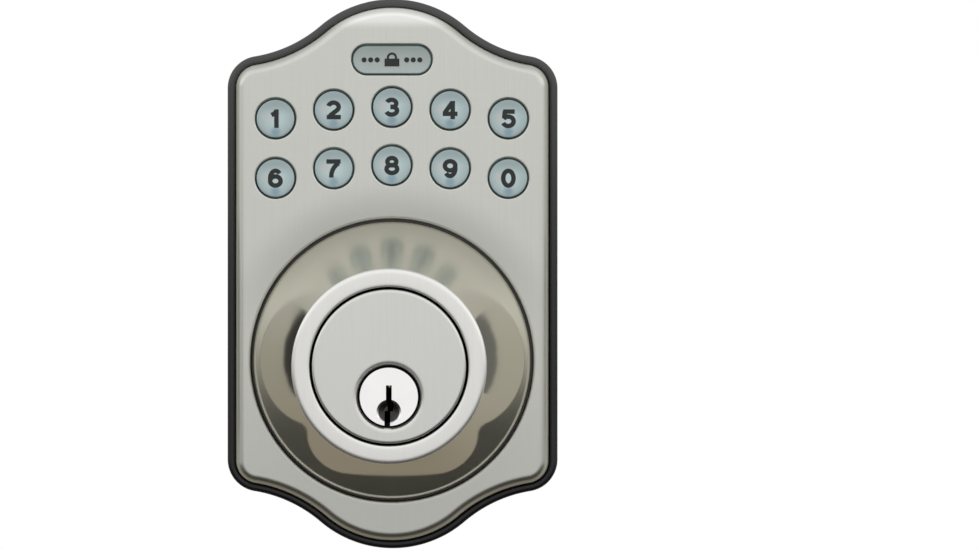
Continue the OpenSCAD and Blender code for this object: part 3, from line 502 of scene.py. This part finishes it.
class Shell:
    """Collects the loops and faces of one closed mesh, in millimetres."""

    def __init__(self):
        self.points = []
        self.faces = []
        self.marks = []
        self.flat = []

    def loop(self, flat, y):
        first = len(self.points)
        self.points += [(x, y, z) for x, z in flat]
        return list(range(first, len(self.points)))

    def face(self, corners, mark=0, flat=False):
        self.faces.append(corners)
        self.marks.append(mark)
        self.flat.append(flat)

    def skin(self, one, other, mark=0):
        count = len(one)
        for i in range(count):
            j = (i + 1) % count
            self.face((one[i], one[j], other[j], other[i]), mark)

    def skins(self, loops, mark=0):
        for one, other in zip(loops, loops[1:]):
            self.skin(one, other, mark)

    def fill(self, outer, holes=()):
        loops = [outer, *holes]
        names = [i for loop in loops for i in loop]
        shapes = [[Vector((self.points[i][0], self.points[i][2], 0)) for i in loop] for loop in loops]
        for corners in tessellate_polygon(shapes):
            self.face(tuple(names[c] for c in corners), flat=True)

    def turned(self, profile, x=0.0, z=0.0, count=64, marks=None):
        """A body of revolution about the Y axis through x, z, from a closed or axis-to-axis profile."""
        loops = []
        for radius, y in profile:
            if radius < 1e-6:
                loops.append(self.loop([(x, z)], y))
            else:
                loops.append(self.loop(ring_points(x, z, radius, count), y))
        if profile[0][0] > 1e-6:
            loops.append(loops[0])
        for n, (one, other) in enumerate(zip(loops, loops[1:])):
            tone = marks[n] if marks else 0
            if len(one) == 1:
                for i in range(count):
                    self.face((one[0], other[i], other[(i + 1) % count]), tone)
            elif len(other) == 1:
                for i in range(count):
                    self.face((one[i], one[(i + 1) % count], other[0]), tone)
            else:
                self.skin(one, other, tone)

    def build(self, name, paints, origin=(0, 0, 0), sharp=32.0):
        """The object with smooth faces, split where two faces meet at more than `sharp` degrees."""
        mesh = bpy.data.meshes.new(name)
        shift = Vector(origin)
        mesh.from_pydata([(Vector(p) - shift) * MM for p in self.points], [], self.faces)
        mesh.polygons.foreach_set("material_index", self.marks)
        mesh.polygons.foreach_set("use_smooth", [not flat for flat in self.flat])
        shape = bmesh.new()
        shape.from_mesh(mesh)
        bmesh.ops.remove_doubles(shape, verts=shape.verts, dist=1e-8)
        bmesh.ops.recalc_face_normals(shape, faces=shape.faces)
        shape.to_mesh(mesh)
        shape.free()
        mesh.set_sharp_from_angle(angle=math.radians(sharp))
        for paint in paints:
            mesh.materials.append(PAINTS[paint])
        made = bpy.data.objects.new(name, mesh)
        made.location = shift * MM
        bpy.context.scene.collection.objects.link(made)
        return made


def add_piece(made, body, slot, *nodes):
    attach(made, body)
    if nodes:
        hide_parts(*nodes)
    return made


def middle(node):
    """Centre of a CAD node's box, in millimetres."""
    low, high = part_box(node)
    return (low + high) / 2 / MM


def rounded_hole(shell, points_at, front, back, bevel, wall=0):
    """Wall of a hole with a rounded front edge; points_at gives the loop grown by some amount.
    Returns the loops where the front and the back face begin."""
    rows = [(bevel + 0.12, front), (bevel, front)]
    rows += rolled((bevel, front), (0, front + (bevel if back > front else -bevel)), 7)[1:]
    rows.append((0, back))
    loops = [shell.loop(points_at(grow), y) for grow, y in rows]
    shell.skins(loops[:-1])
    shell.skin(loops[-2], loops[-1], wall)
    return loops[0], loops[-1]


# ---------- outside unit ----------


def make_front_plate():
    shell = Shell()
    face = PLATE_EDGE + PLATE_ROLL
    edge = rolled((face, PLATE_FRONT), (PLATE_EDGE, RIM_FRONT - 0.5), 20, 2.25)
    rows = [(face + 0.14, PLATE_FRONT)] + edge
    rows += [(PLATE_EDGE, FLOOR_FRONT - 0.1), (PLATE_EDGE + SKIRT_T, FLOOR_FRONT - 0.1)]
    rows.append((PLATE_EDGE + SKIRT_T, PLATE_BACK))
    loops = [shell.loop(outline(inset), y) for inset, y in rows]
    shell.skins(loops)
    fronts = []
    backs = []
    holes = [(0.0, 0.0, DISH_HOLE_R, 0.7, 192, 1)]
    for name in KEY_NAMES:
        centre = middle("key_" + name)
        holes.append((centre.x, centre.z, KEY_HOLE_R, KEY_BEVEL, 56, 0))
    for x, z, radius, bevel, count, wall in holes:
        front, back = rounded_hole(
            shell, lambda grow: ring_points(x, z, radius + grow, count), PLATE_FRONT, PLATE_BACK, bevel, wall)
        fronts.append(front)
        backs.append(back)
    front, back = rounded_hole(
        shell,
        lambda grow: stadium_points(WINDOW_Z, WINDOW_W + 0.3 + 2 * grow, WINDOW_H + 0.3 + 2 * grow),
        PLATE_FRONT, PLATE_BACK, 0.4)
    fronts.append(front)
    backs.append(back)
    shell.fill(loops[0], fronts)
    shell.fill(loops[-1], backs)
    plate = shell.build("keypad_plate", ["plate_satin", "groove"])
    add_piece(plate, "lock_body", "satin_nickel", "front_plate")


def make_base_housing():
    shell = Shell()
    rows = [(0, GASKET_BACK)]
    rows += rolled((0.95, RIM_FRONT), (0, RIM_FRONT + 1.1), 8)[::-1]
    rows += rolled((1.25, RIM_FRONT), (RIM_W, RIM_FRONT + 0.6), 5)
    rows.append((RIM_W, FLOOR_FRONT))
    loops = [shell.loop(outline(inset), y) for inset, y in rows]
    shell.skins(loops)
    hole_back = shell.loop(ring_points(0, 0, CROSS_HOLE_R, 120), GASKET_BACK)
    hole_front = shell.loop(ring_points(0, 0, CROSS_HOLE_R, 120), FLOOR_FRONT)
    shell.skin(hole_back, hole_front)
    shell.fill(loops[0], [hole_back])
    shell.fill(loops[-1], [hole_front])
    add_piece(shell.build("base_case", ["case_black"]), "lock_body", "black_plastic", "base_housing")


def make_collar():
    rise = (COLLAR_BASE_R - COLLAR_R) / (COLLAR_RIM_Y - RING_BACK)
    wall = COLLAR_T * math.sqrt(1 + rise * rise)
    end = COLLAR_RIM_Y + COLLAR_T
    front = [(COLLAR_R + rise * (y - RING_BACK), y) for y in
             [RING_BACK + (COLLAR_RIM_Y - 0.25 - RING_BACK) * i / 12 for i in range(13)]]
    lip = [(COLLAR_BASE_R - 0.03, COLLAR_RIM_Y - 0.06), (COLLAR_BASE_R, COLLAR_RIM_Y + 0.1),
           (COLLAR_BASE_R, end - 0.2), (COLLAR_BASE_R - 0.2, end)]
    back = [(COLLAR_R - wall + rise * (end - RING_BACK), end), (COLLAR_R - wall, RING_BACK)]
    shell = Shell()
    shell.turned(front + lip + back, count=192)
    add_piece(shell.build("collar_dish", ["polished_nickel"]), "collar", "polished_nickel", "collar_flare")

    shell = Shell()
    bore = RING_BORE + 0.14
    outer = rolled((20.9, RING_FRONT), (COLLAR_R, RING_FRONT + 0.8), 12, 2.7)
    inner = rolled((19.2, RING_FRONT), (bore, RING_FRONT + 0.5), 8, 3.4)[::-1]
    profile = [(bore, RING_FRONT + 0.8)] + inner + outer
    profile += [(COLLAR_R, RING_BACK + 0.05), (COLLAR_R - 0.1, RING_BACK), (bore, RING_BACK)]
    marks = [0] * (len(profile) - 1) + [1]
    shell.turned(profile, count=160, marks=marks)
    ring = shell.build("collar_front", ["ring_satin", "groove"])
    add_piece(ring, "collar", "satin_nickel", "collar_ring")


def make_cylinder():
    """The cylinder: face with the plug's recess, neck, shoulder, flange and the two bolt posts."""
    face = CYLINDER_FACE
    shell = Shell()
    rows = [(16.55, face), (16.7, face)]
    rows += rolled((16.85, face), (CYLINDER_R, face + 0.55), 6, 2.2)
    rows += [(CYLINDER_R, NECK_FRONT), (NECK_R, NECK_FRONT), (NECK_R, NECK_BACK),
             (SHOULDER_R, NECK_BACK), (SHOULDER_R, SHOULDER_BACK)]
    loops = [shell.loop(ring_points(0, 0, radius, 128), y) for radius, y in rows]
    shell.skins(loops[:9])
    shell.skins(loops[8:12], 1)
    shell.skins(loops[11:])
    hole = [(8.45, face)] + rolled((8.3, face), (7.08, face + 0.75), 8)
    hole += [(7.08, face + 1.4), (PLUG_BORE, face + 1.4), (PLUG_BORE, SHOULDER_BACK)]
    walls = [shell.loop(ring_points(0, PLUG_Z, radius, 72), y) for radius, y in hole]
    shell.skins(walls[:-3])
    shell.skins(walls[-4:], 1)
    shell.fill(loops[0], [walls[0]])
    shell.fill(loops[-1], [walls[-1]])
    angle = math.degrees(math.asin(FLANGE_HALF / FLANGE_R))
    plan = arc((0, 0), FLANGE_R, -angle, angle, 20) + arc((0, 0), FLANGE_R, 180 - angle, 180 + angle, 20)
    depths = (FLANGE_FRONT, FLANGE_BACK)
    rows = [shell.loop(plan, y) for y in depths]
    opening = [shell.loop(ring_points(0, PLUG_Z, 8.4, 48), y) for y in depths]
    shell.skins(rows)
    shell.skins(opening)
    shell.fill(rows[0], [opening[0]])
    shell.fill(rows[1], [opening[1]])
    post = [(POST_BORE, -5.45), (3.7, -5.45), (POST_R, -5.3), (POST_R, 7.7), (3.6, 8.0), (2.7, 8.0),
            (POST_BORE, 7.8)]
    for x in (-BOLT_X, BOLT_X):
        shell.turned(post, x, 0.0, 32)
    body = shell.build("cylinder_case", ["face_satin", "groove"])
    add_piece(body, "lock_body", "satin_nickel", "cylinder_body")


def digit_strokes(name):
    """Centre lines of one figure, in millimetres, within 2.6 by 3.5."""
    def bow(x, z, rx, rz, start, end, steps=26):
        turns = [math.radians(start + (end - start) * i / steps) for i in range(steps + 1)]
        return [(x + rx * math.cos(a), z + rz * math.sin(a)) for a in turns]

    shapes = {
        "0": [bow(0, 0, 1.22, 1.75, 90, 450, 48)],
        "1": [[(0.25, -2.18), (0.25, 2.2)], [(-0.95, 0.85), (-0.35, 1.15), (0.2, 1.72)]],
        "2": [bow(-0.02, 0.72, 1.22, 1.03, 168, -28) + [(0.55, -0.25), (-0.6, -1.1), (-1.15, -1.72)],
              [(-1.65, -1.68), (1.72, -1.68)]],
        "3": [bow(-0.08, 0.88, 1.12, 0.87, 160, -84) + [(-0.35, 0.02)],
              [(-0.35, 0.06)] + bow(-0.06, -0.83, 1.28, 0.92, 86, -162)],
        "4": [[(0.62, -2.18), (0.62, 2.15)], [(0.5, 1.8), (-1.35, -0.75)], [(-1.75, -0.9), (1.75, -0.9)]],
        "5": [[(1.5, 1.68), (-1.2, 1.68)], [(-0.8, 1.9), (-1.02, 0.1)],
              bow(-0.02, -0.62, 1.27, 1.12, 150, -160)],
        "6": [bow(0, -0.66, 1.24, 1.09, 90, 450, 40), bow(0.02, -0.05, 1.26, 1.8, 200, 40)],
        "7": [[(-1.72, 1.68), (1.65, 1.68)], bow(2.3, -1.9, 2.85, 3.4, 112, 184, 14)],
        "8": [bow(0, 0.88, 1.06, 0.87, -90, 270, 36), bow(0, -0.85, 1.27, 0.95, 90, 450, 40)],
    }
    shapes["9"] = [[(-x, -z) for x, z in stroke] for stroke in shapes["6"]]
    return shapes[name]


def ribbon(shell, line, half, y_front, y_back):
    """A flat band with square ends that follows line, as a closed solid."""
    closed = math.dist(line[0], line[-1]) < 1e-6
    points = line[:-1] if closed else line
    count = len(points)
    left = []
    right = []
    for i, point in enumerate(points):
        before = points[i - 1] if closed or i > 0 else point
        after = points[(i + 1) % count] if closed or i < count - 1 else point
        into = Vector((point[0] - before[0], point[1] - before[1]))
        away = Vector((after[0] - point[0], after[1] - point[1]))
        into = into.normalized() if into.length else away.normalized()
        away = away.normalized() if away.length else into
        along = (into + away).normalized()
        across = Vector((-along.y, along.x))
        reach = half / max(0.45, across.dot(Vector((-into.y, into.x))))
        left.append((point[0] + across.x * reach, point[1] + across.y * reach))
        right.append((point[0] - across.x * reach, point[1] - across.y * reach))
    rows = [shell.loop(left, y_front), shell.loop(right, y_front),
            shell.loop(right, y_back), shell.loop(left, y_back)]
    spans = count if closed else count - 1
    for one, other in zip(rows, rows[1:] + rows[:1]):
        for i in range(spans):
            j = (i + 1) % count
            shell.face((one[i], one[j], other[j], other[i]))
    if not closed:
        for i in (0, count - 1):
            shell.face(tuple(row[i] for row in rows))


def make_keys():
    for name in KEY_NAMES:
        node = "key_" + name
        body = node
        centre = middle(node)
        low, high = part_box(node)
        flange_r = (high.x - low.x) / 2 / MM
        shell = Shell()
        top = [(0.0, KEY_TOP), (1.2, KEY_TOP), (2.4, KEY_TOP), (3.5, KEY_TOP + 0.02), (4.1, KEY_TOP + 0.06),
               (4.34, KEY_TOP + 0.1)]
        edge = rolled((4.4, KEY_TOP + 0.14), (KEY_R, KEY_TOP + 0.6), 5)
        rest = [(KEY_R, -15.7), (flange_r, -15.7), (flange_r, -14.5), (2.2, -14.5), (2.2, high.y / MM)]
        profile = top + edge + rest + [(0.0, high.y / MM)]
        # the rounded edge takes the key_rim paint: painted shade
        marks = [0] * len(top) + [1] * (len(edge) + 1) + [0] * len(rest)
        shell.turned(profile, centre.x, centre.z, 56, marks=marks)
        cap = shell.build("cap_" + name, ["key_plastic", "key_rim"], (centre.x, KEY_TOP, centre.z))
        add_piece(cap, body, "key_plastic", node)
        figure = Shell()
        for n, stroke in enumerate(digit_strokes(name)):
            moved = [(x + centre.x, z + centre.z) for x, z in stroke]
            ribbon(figure, moved, 0.53, KEY_TOP - 0.03 - 0.004 * n, KEY_TOP + 0.02)
        sign = figure.build("figure_" + name, ["ink"], (centre.x, KEY_TOP, centre.z))
        sign.visible_glossy = False  # the collar mirrors the keys as plain discs
        add_piece(sign, body, "black_plastic")


def make_mat():
    """The silicone mat as a flat sheet and ten domes, one under each key."""
    low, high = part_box("keypad_mat")
    low, high = low / MM, high / MM
    back = high.y
    front = back - MAT_T
    post_x = high.x - MAT_POST_INSET
    post_z = (low.z + MAT_POST_INSET, high.z - MAT_POST_INSET)
    cut = math.degrees(math.asin(MAT_POST_INSET / MAT_POST_R))
    corner = arc((post_x, post_z[1]), MAT_POST_R, 180 - cut, 270 + cut, 16)
    right = [(x, low.z + high.z - z) for x, z in reversed(corner)] + corner[::-1]
    border = right + [(-x, z) for x, z in reversed(right)]
    sheet = Shell()
    fronts = []
    backs = []
    holes = []
    for name in KEY_NAMES:
        centre = middle("key_" + name)
        holes.append(ring_points(centre.x, centre.z, DOME_R + 0.06, 40))
    lamps_low, lamps_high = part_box("key_lights")
    lamps_z = (lamps_low.z + lamps_high.z) / 2 / MM
    for side in (-1, 1):
        for step in (0.5, 1.5):
            x = side * step * middle("key_4").x
            holes.append([(x - 1.6, lamps_z - 1.3), (x + 1.6, lamps_z - 1.3),
                          (x + 1.6, lamps_z + 1.3), (x - 1.6, lamps_z + 1.3)])
    for hole in holes:
        rows = [sheet.loop(hole, y) for y in (front, back)]
        sheet.skins(rows)
        fronts.append(rows[0])
        backs.append(rows[1])
    rows = [sheet.loop(border, y) for y in (front, back)]
    sheet.skins(rows)
    sheet.fill(rows[0], fronts)
    sheet.fill(rows[1], backs)
    add_piece(sheet.build("mat_sheet", ["silicone"]), "lock_body", "silicone", "keypad_mat")

    top = low.y + 0.02
    for name in KEY_NAMES:
        centre = middle("key_" + name)
        dome = Shell()
        hollow = [(0, top + 0.9), (2.2, top + 0.9), (2.6, top + 1.2), (3.2, front + 0.4), (3.2, back)]
        outside = [(DOME_R, back), (DOME_R, front), (3.4, front - 0.45), (2.62, top + 0.08), (2.5, top),
                   (0, top)]
        dome.turned(hollow + outside, centre.x, centre.z, 40)
        piece = add_piece(dome.build("dome_" + name, ["silicone"]), "lock_body", "silicone")
        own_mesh(piece)


def make_window():
    front = PLATE_FRONT + 0.2
    back = -14.8

    def grown(by):
        return stadium_points(WINDOW_Z, WINDOW_W + 2 * by, WINDOW_H + 2 * by)

    shell = Shell()
    rows = [(-0.75, front + 0.1), (-0.6, front + 0.04)]
    rows += rolled((-0.34, front), (0, front + 0.4), 6)
    rows += [(0, -15.9), (1.2, -15.9), (1.2, back)]
    loops = [shell.loop(grown(by), y) for by, y in rows]
    shell.skins(loops[:3])
    # the rounded edge and walls take the key_rim paint: painted shade
    shell.skins(loops[2:], 1)
    shell.fill(loops[0])
    shell.fill(loops[-1])
    add_piece(shell.build("window_lens", ["lens_plastic", "key_rim"]), "lock_body", "lens_plastic",
              "indicator_lens")

    sign = Shell()
    y_front = front + 0.04
    y_back = front + 0.14
    body_w = 1.75
    ribbon(sign, [(-body_w, WINDOW_Z - 0.62), (body_w, WINDOW_Z - 0.62)], 0.92, y_front, y_back)
    shackle = [(x, z + WINDOW_Z + 0.55) for x, z in arc((0, 0), 0.95, 180, 0, 20)]
    shackle = [(-0.95, WINDOW_Z + 0.3)] + shackle + [(0.95, WINDOW_Z + 0.3)]
    ribbon(sign, shackle, 0.26, y_front, y_back)
    for side in (-1, 1):
        for step in range(3):
            x = side * (3.5 + 1.55 * step)
            sign.turned([(0, y_front), (0.6, y_front), (0.6, y_back), (0, y_back)], x, WINDOW_Z, 24)
    add_piece(sign.build("window_sign", ["ink"]), "lock_body", "black_plastic")


# ---------- inside unit ----------


def make_covers():
    shell = Shell()
    inner = COVER_INSET + COVER_T
    edge = rolled((COVER_INSET + 3.2, COVER_FACE), (COVER_INSET, COVER_FACE - 3.0), 10, 2.2)
    rows = [(COVER_INSET + 3.4, COVER_FACE)] + edge
    rows += [(COVER_INSET, COVER_DOOR), (inner, COVER_DOOR), (inner, COVER_FACE - COVER_T)]
    loops = [shell.loop(outline(inset), y) for inset, y in rows]
    shell.skins(loops)
    fronts = []
    backs = []
    for x, z, radius in ((0.0, PLUG_Z, 6.3), (-30.5, 8.5, 1.55), (30.5, 8.5, 1.55)):
        front, back = rounded_hole(
            shell, lambda grow: ring_points(x, z, radius + grow, 48), COVER_FACE, COVER_FACE - COVER_T,
            0.3 if radius > 3 else 1.3)
        fronts.append(front)
        backs.append(back)
    for k in range(5):
        z = SPLIT_Z + 5.5 + 2 * k
        widths = [(0.16, COVER_FACE), (0.06, COVER_FACE),
                  (-0.04, COVER_FACE - 0.12), (-0.14, COVER_FACE - 0.6)]
        groove = [shell.loop(stadium_points(z, 18 + 2 * by, 1.0 + 2 * by, 8), y) for by, y in widths]
        shell.skins(groove)
        shell.fill(groove[-1])
        fronts.append(groove[0])
    shell.fill(loops[0], fronts)
    shell.fill(loops[-1], backs)
    whole = shell.build("cover_whole", ["satin_nickel"])
    for name, body, node, side in (("inside_shell", "lock_body", "inside_cover", -1),
                                   ("battery_lid", "battery_door", "battery_door", 1)):
        mesh = whole.data.copy()
        mesh.name = name
        cut = bmesh.new()
        cut.from_mesh(mesh)
        plane = Vector((0, 0, (SPLIT_Z + side * SPLIT_GAP / 2) * MM))
        done = bmesh.ops.bisect_plane(
            cut, geom=cut.verts[:] + cut.edges[:] + cut.faces[:], dist=1e-8, plane_co=plane,
            plane_no=(0, 0, -side), clear_outer=True)
        open_edges = [e for e in done["geom_cut"] if isinstance(e, bmesh.types.BMEdge)]
        bmesh.ops.holes_fill(cut, edges=open_edges)
        cut.to_mesh(mesh)
        cut.free()
        mesh.set_sharp_from_angle(angle=math.radians(32))
        made = bpy.data.objects.new(name, mesh)
        bpy.context.scene.collection.objects.link(made)
        add_piece(made, body, "satin_nickel", node)
    bpy.data.objects.remove(whole)


# ---------- nodes that stay ----------


SPECIAL = {"collar_lip": "groove"}
SOFTENED = {"thumb_turn": 0.6, "through_bolts": 0.12, "torque_blade": 0.2,
            "mount_plate": 0.15, "support_ring": 0.2, "cover_screws": 0.08, "thumb_screw": 0.08}


def finish_nodes():
    slots = {row["node"]: row["material_slot"] for row in frame["record"]["subparts"]}
    for name, node in frame["nodes"].items():
        paint = PAINTS[SPECIAL.get(name, slots[name])]
        for place in node.material_slots:
            place.material = paint
        if name in SOFTENED:
            weld = node.modifiers.new("weld", "WELD")
            weld.merge_threshold = 1e-6
            bevel = node.modifiers.new("soften", "BEVEL")
            bevel.width = SOFTENED[name] * MM
            bevel.segments = 3
            bevel.limit_method = "ANGLE"
            bevel.angle_limit = math.radians(40)
            bevel.use_clamp_overlap = True
            normals = node.modifiers.new("even", "WEIGHTED_NORMAL")
            normals.keep_sharp = False


# ---------- studio ----------


def make_camera():
    lens = bpy.data.cameras.new("camera")
    lens.sensor_width = 36
    lens.lens = 93.15
    lens.shift_x = 0.0307
    lens.shift_y = -0.0577
    lens.clip_start = 0.01
    lens.clip_end = 50
    camera = bpy.data.objects.new("camera", lens)
    camera.location = Vector((15.9, -618, 33.6)) * MM
    camera.rotation_euler = (math.pi / 2, 0, 0)
    bpy.context.scene.collection.objects.link(camera)
    bpy.context.scene.camera = camera


def make_floor():
    half = 30.0
    height = cad_low.z - 0.001
    mesh = bpy.data.meshes.new("floor")
    corners = [(-half, -half, height), (half, -half, height), (half, half, height), (-half, half, height)]
    mesh.from_pydata(corners, [], [(0, 1, 2, 3)])
    floor = bpy.data.objects.new("floor", mesh)
    bpy.context.scene.collection.objects.link(floor)
    paint = bpy.data.materials.new("floor_white")
    paint.use_nodes = True
    tree = paint.node_tree
    glow = tree.nodes.new("ShaderNodeEmission")
    glow.inputs["Color"].default_value = (1, 1, 1, 1)
    tree.links.new(glow.outputs[0], tree.nodes["Material Output"].inputs["Surface"])
    mesh.materials.append(paint)
    floor.visible_glossy = False
    floor.visible_diffuse = False
    floor.visible_shadow = False


class Sky(Paint):
    def __init__(self):
        self.world = bpy.data.worlds.new("studio")
        bpy.context.scene.world = self.world
        self.world.use_nodes = True
        self.tree = self.world.node_tree
        self.surface = self.tree.nodes["Background"]


def make_sky():
    """White behind the lock; around it a light tent: bright above and in front, dark below."""
    sky = Sky()
    toward = sky.node("ShaderNodeTexCoord", output="Generated")
    height = sky.node("ShaderNodeSeparateXYZ", {}, {0: toward}, "Z") * 0.5 + 0.5
    across = sky.node("ShaderNodeSeparateXYZ", {}, {0: toward}, "X")
    depth = sky.node("ShaderNodeSeparateXYZ", {}, {0: toward}, "Y")
    wide = sky.math("ABSOLUTE", across)
    front = sky.ramp(height + wide * 0.05, [
        (0.0, (0.03, 0.028, 0.024, 1)), (0.38, (0.04, 0.038, 0.033, 1)), (0.47, (0.34, 0.33, 0.30, 1)),
        (0.54, (0.62, 0.615, 0.59, 1)), (0.62, (1.05, 1.05, 1.03, 1)), (0.71, (1.40, 1.40, 1.38, 1)),
        (0.79, (0.92, 0.925, 0.91, 1)), (0.92, (1.0, 1.01, 1.0, 1)), (1.0, (0.66, 0.67, 0.67, 1))])
    strip = 1 - sky.remap(sky.vector("DISTANCE", toward, (0.62, -0.78, 0.05), output="Value"), 0.05, 0.35)
    front = sky.mix(strip * 0.7, front, (1.3, 1.3, 1.28, 1))
    behind = sky.ramp(height, [
        (0.0, (0.30, 0.27, 0.21, 1)), (0.2, (0.325, 0.29, 0.232, 1)), (0.5, (0.40, 0.395, 0.338, 1)),
        (0.8, (0.58, 0.585, 0.56, 1)), (1.0, (0.66, 0.67, 0.66, 1))])
    behind = sky.mix(sky.remap(across, 0.2, 0.9) * 0.5, behind, (0.56, 0.55, 0.49, 1))
    lit = sky.mix(sky.remap(depth, -0.05, 0.3), front, behind)
    ahead = sky.vector("DOT_PRODUCT", toward, (0, -0.985, 0.17), output="Value")
    glow = sky.remap(ahead, 0.80, 0.99)
    lit = sky.mix(glow * 0.95, lit, (1.0, 1.0, 1.0, 1))
    seen = sky.node("ShaderNodeLightPath", output="Is Camera Ray")
    sky.feed("Color", sky.mix(seen, lit, (1, 1, 1, 1)))
    sky.feed("Strength", 1.0)


def make_cards():
    """Two dark cards behind the lock's sides, which the dish mirrors beside its ring."""
    plane = -8.0
    reach = 200.0
    edges = (("card_left", -1, 0.05, ((54.6, -21), (56.5, -9), (57.1, 3), (56.0, 17), (52.3, 31))),
             ("card_right", 1, 0.28, ((58.2, -21), (60.0, -9), (60.7, 3), (59.2, 17), (55.7, 30))))
    for name, side, tone, edge in edges:
        paint = Paint(name, Roughness=0.9)
        pulp = paint.noise(paint.place(), 40.0)
        darker = (tone * 0.9, tone * 0.93, tone * 0.88, 1)
        paint.feed("Base Color", paint.mix(pulp, darker, (tone, tone, tone, 1)))
        mesh = bpy.data.meshes.new(name)
        rim = [*edge, (reach, edge[-1][1]), (reach, edge[0][1])]
        mesh.from_pydata([Vector((side * x, plane, z)) * MM for x, z in rim], [], [range(len(rim))])
        mesh.materials.append(paint.material)
        card = bpy.data.objects.new(name, mesh)
        bpy.context.scene.collection.objects.link(card)
        card.visible_camera = False
        card.visible_shadow = False
        card.visible_diffuse = False


def set_colour_view():
    bpy.context.scene.view_settings.view_transform = "Standard"


make_camera()
make_front_plate()
make_base_housing()
make_collar()
make_cylinder()
make_keys()
make_mat()
make_window()
make_covers()
finish_nodes()
make_floor()
make_cards()
make_sky()
set_colour_view()
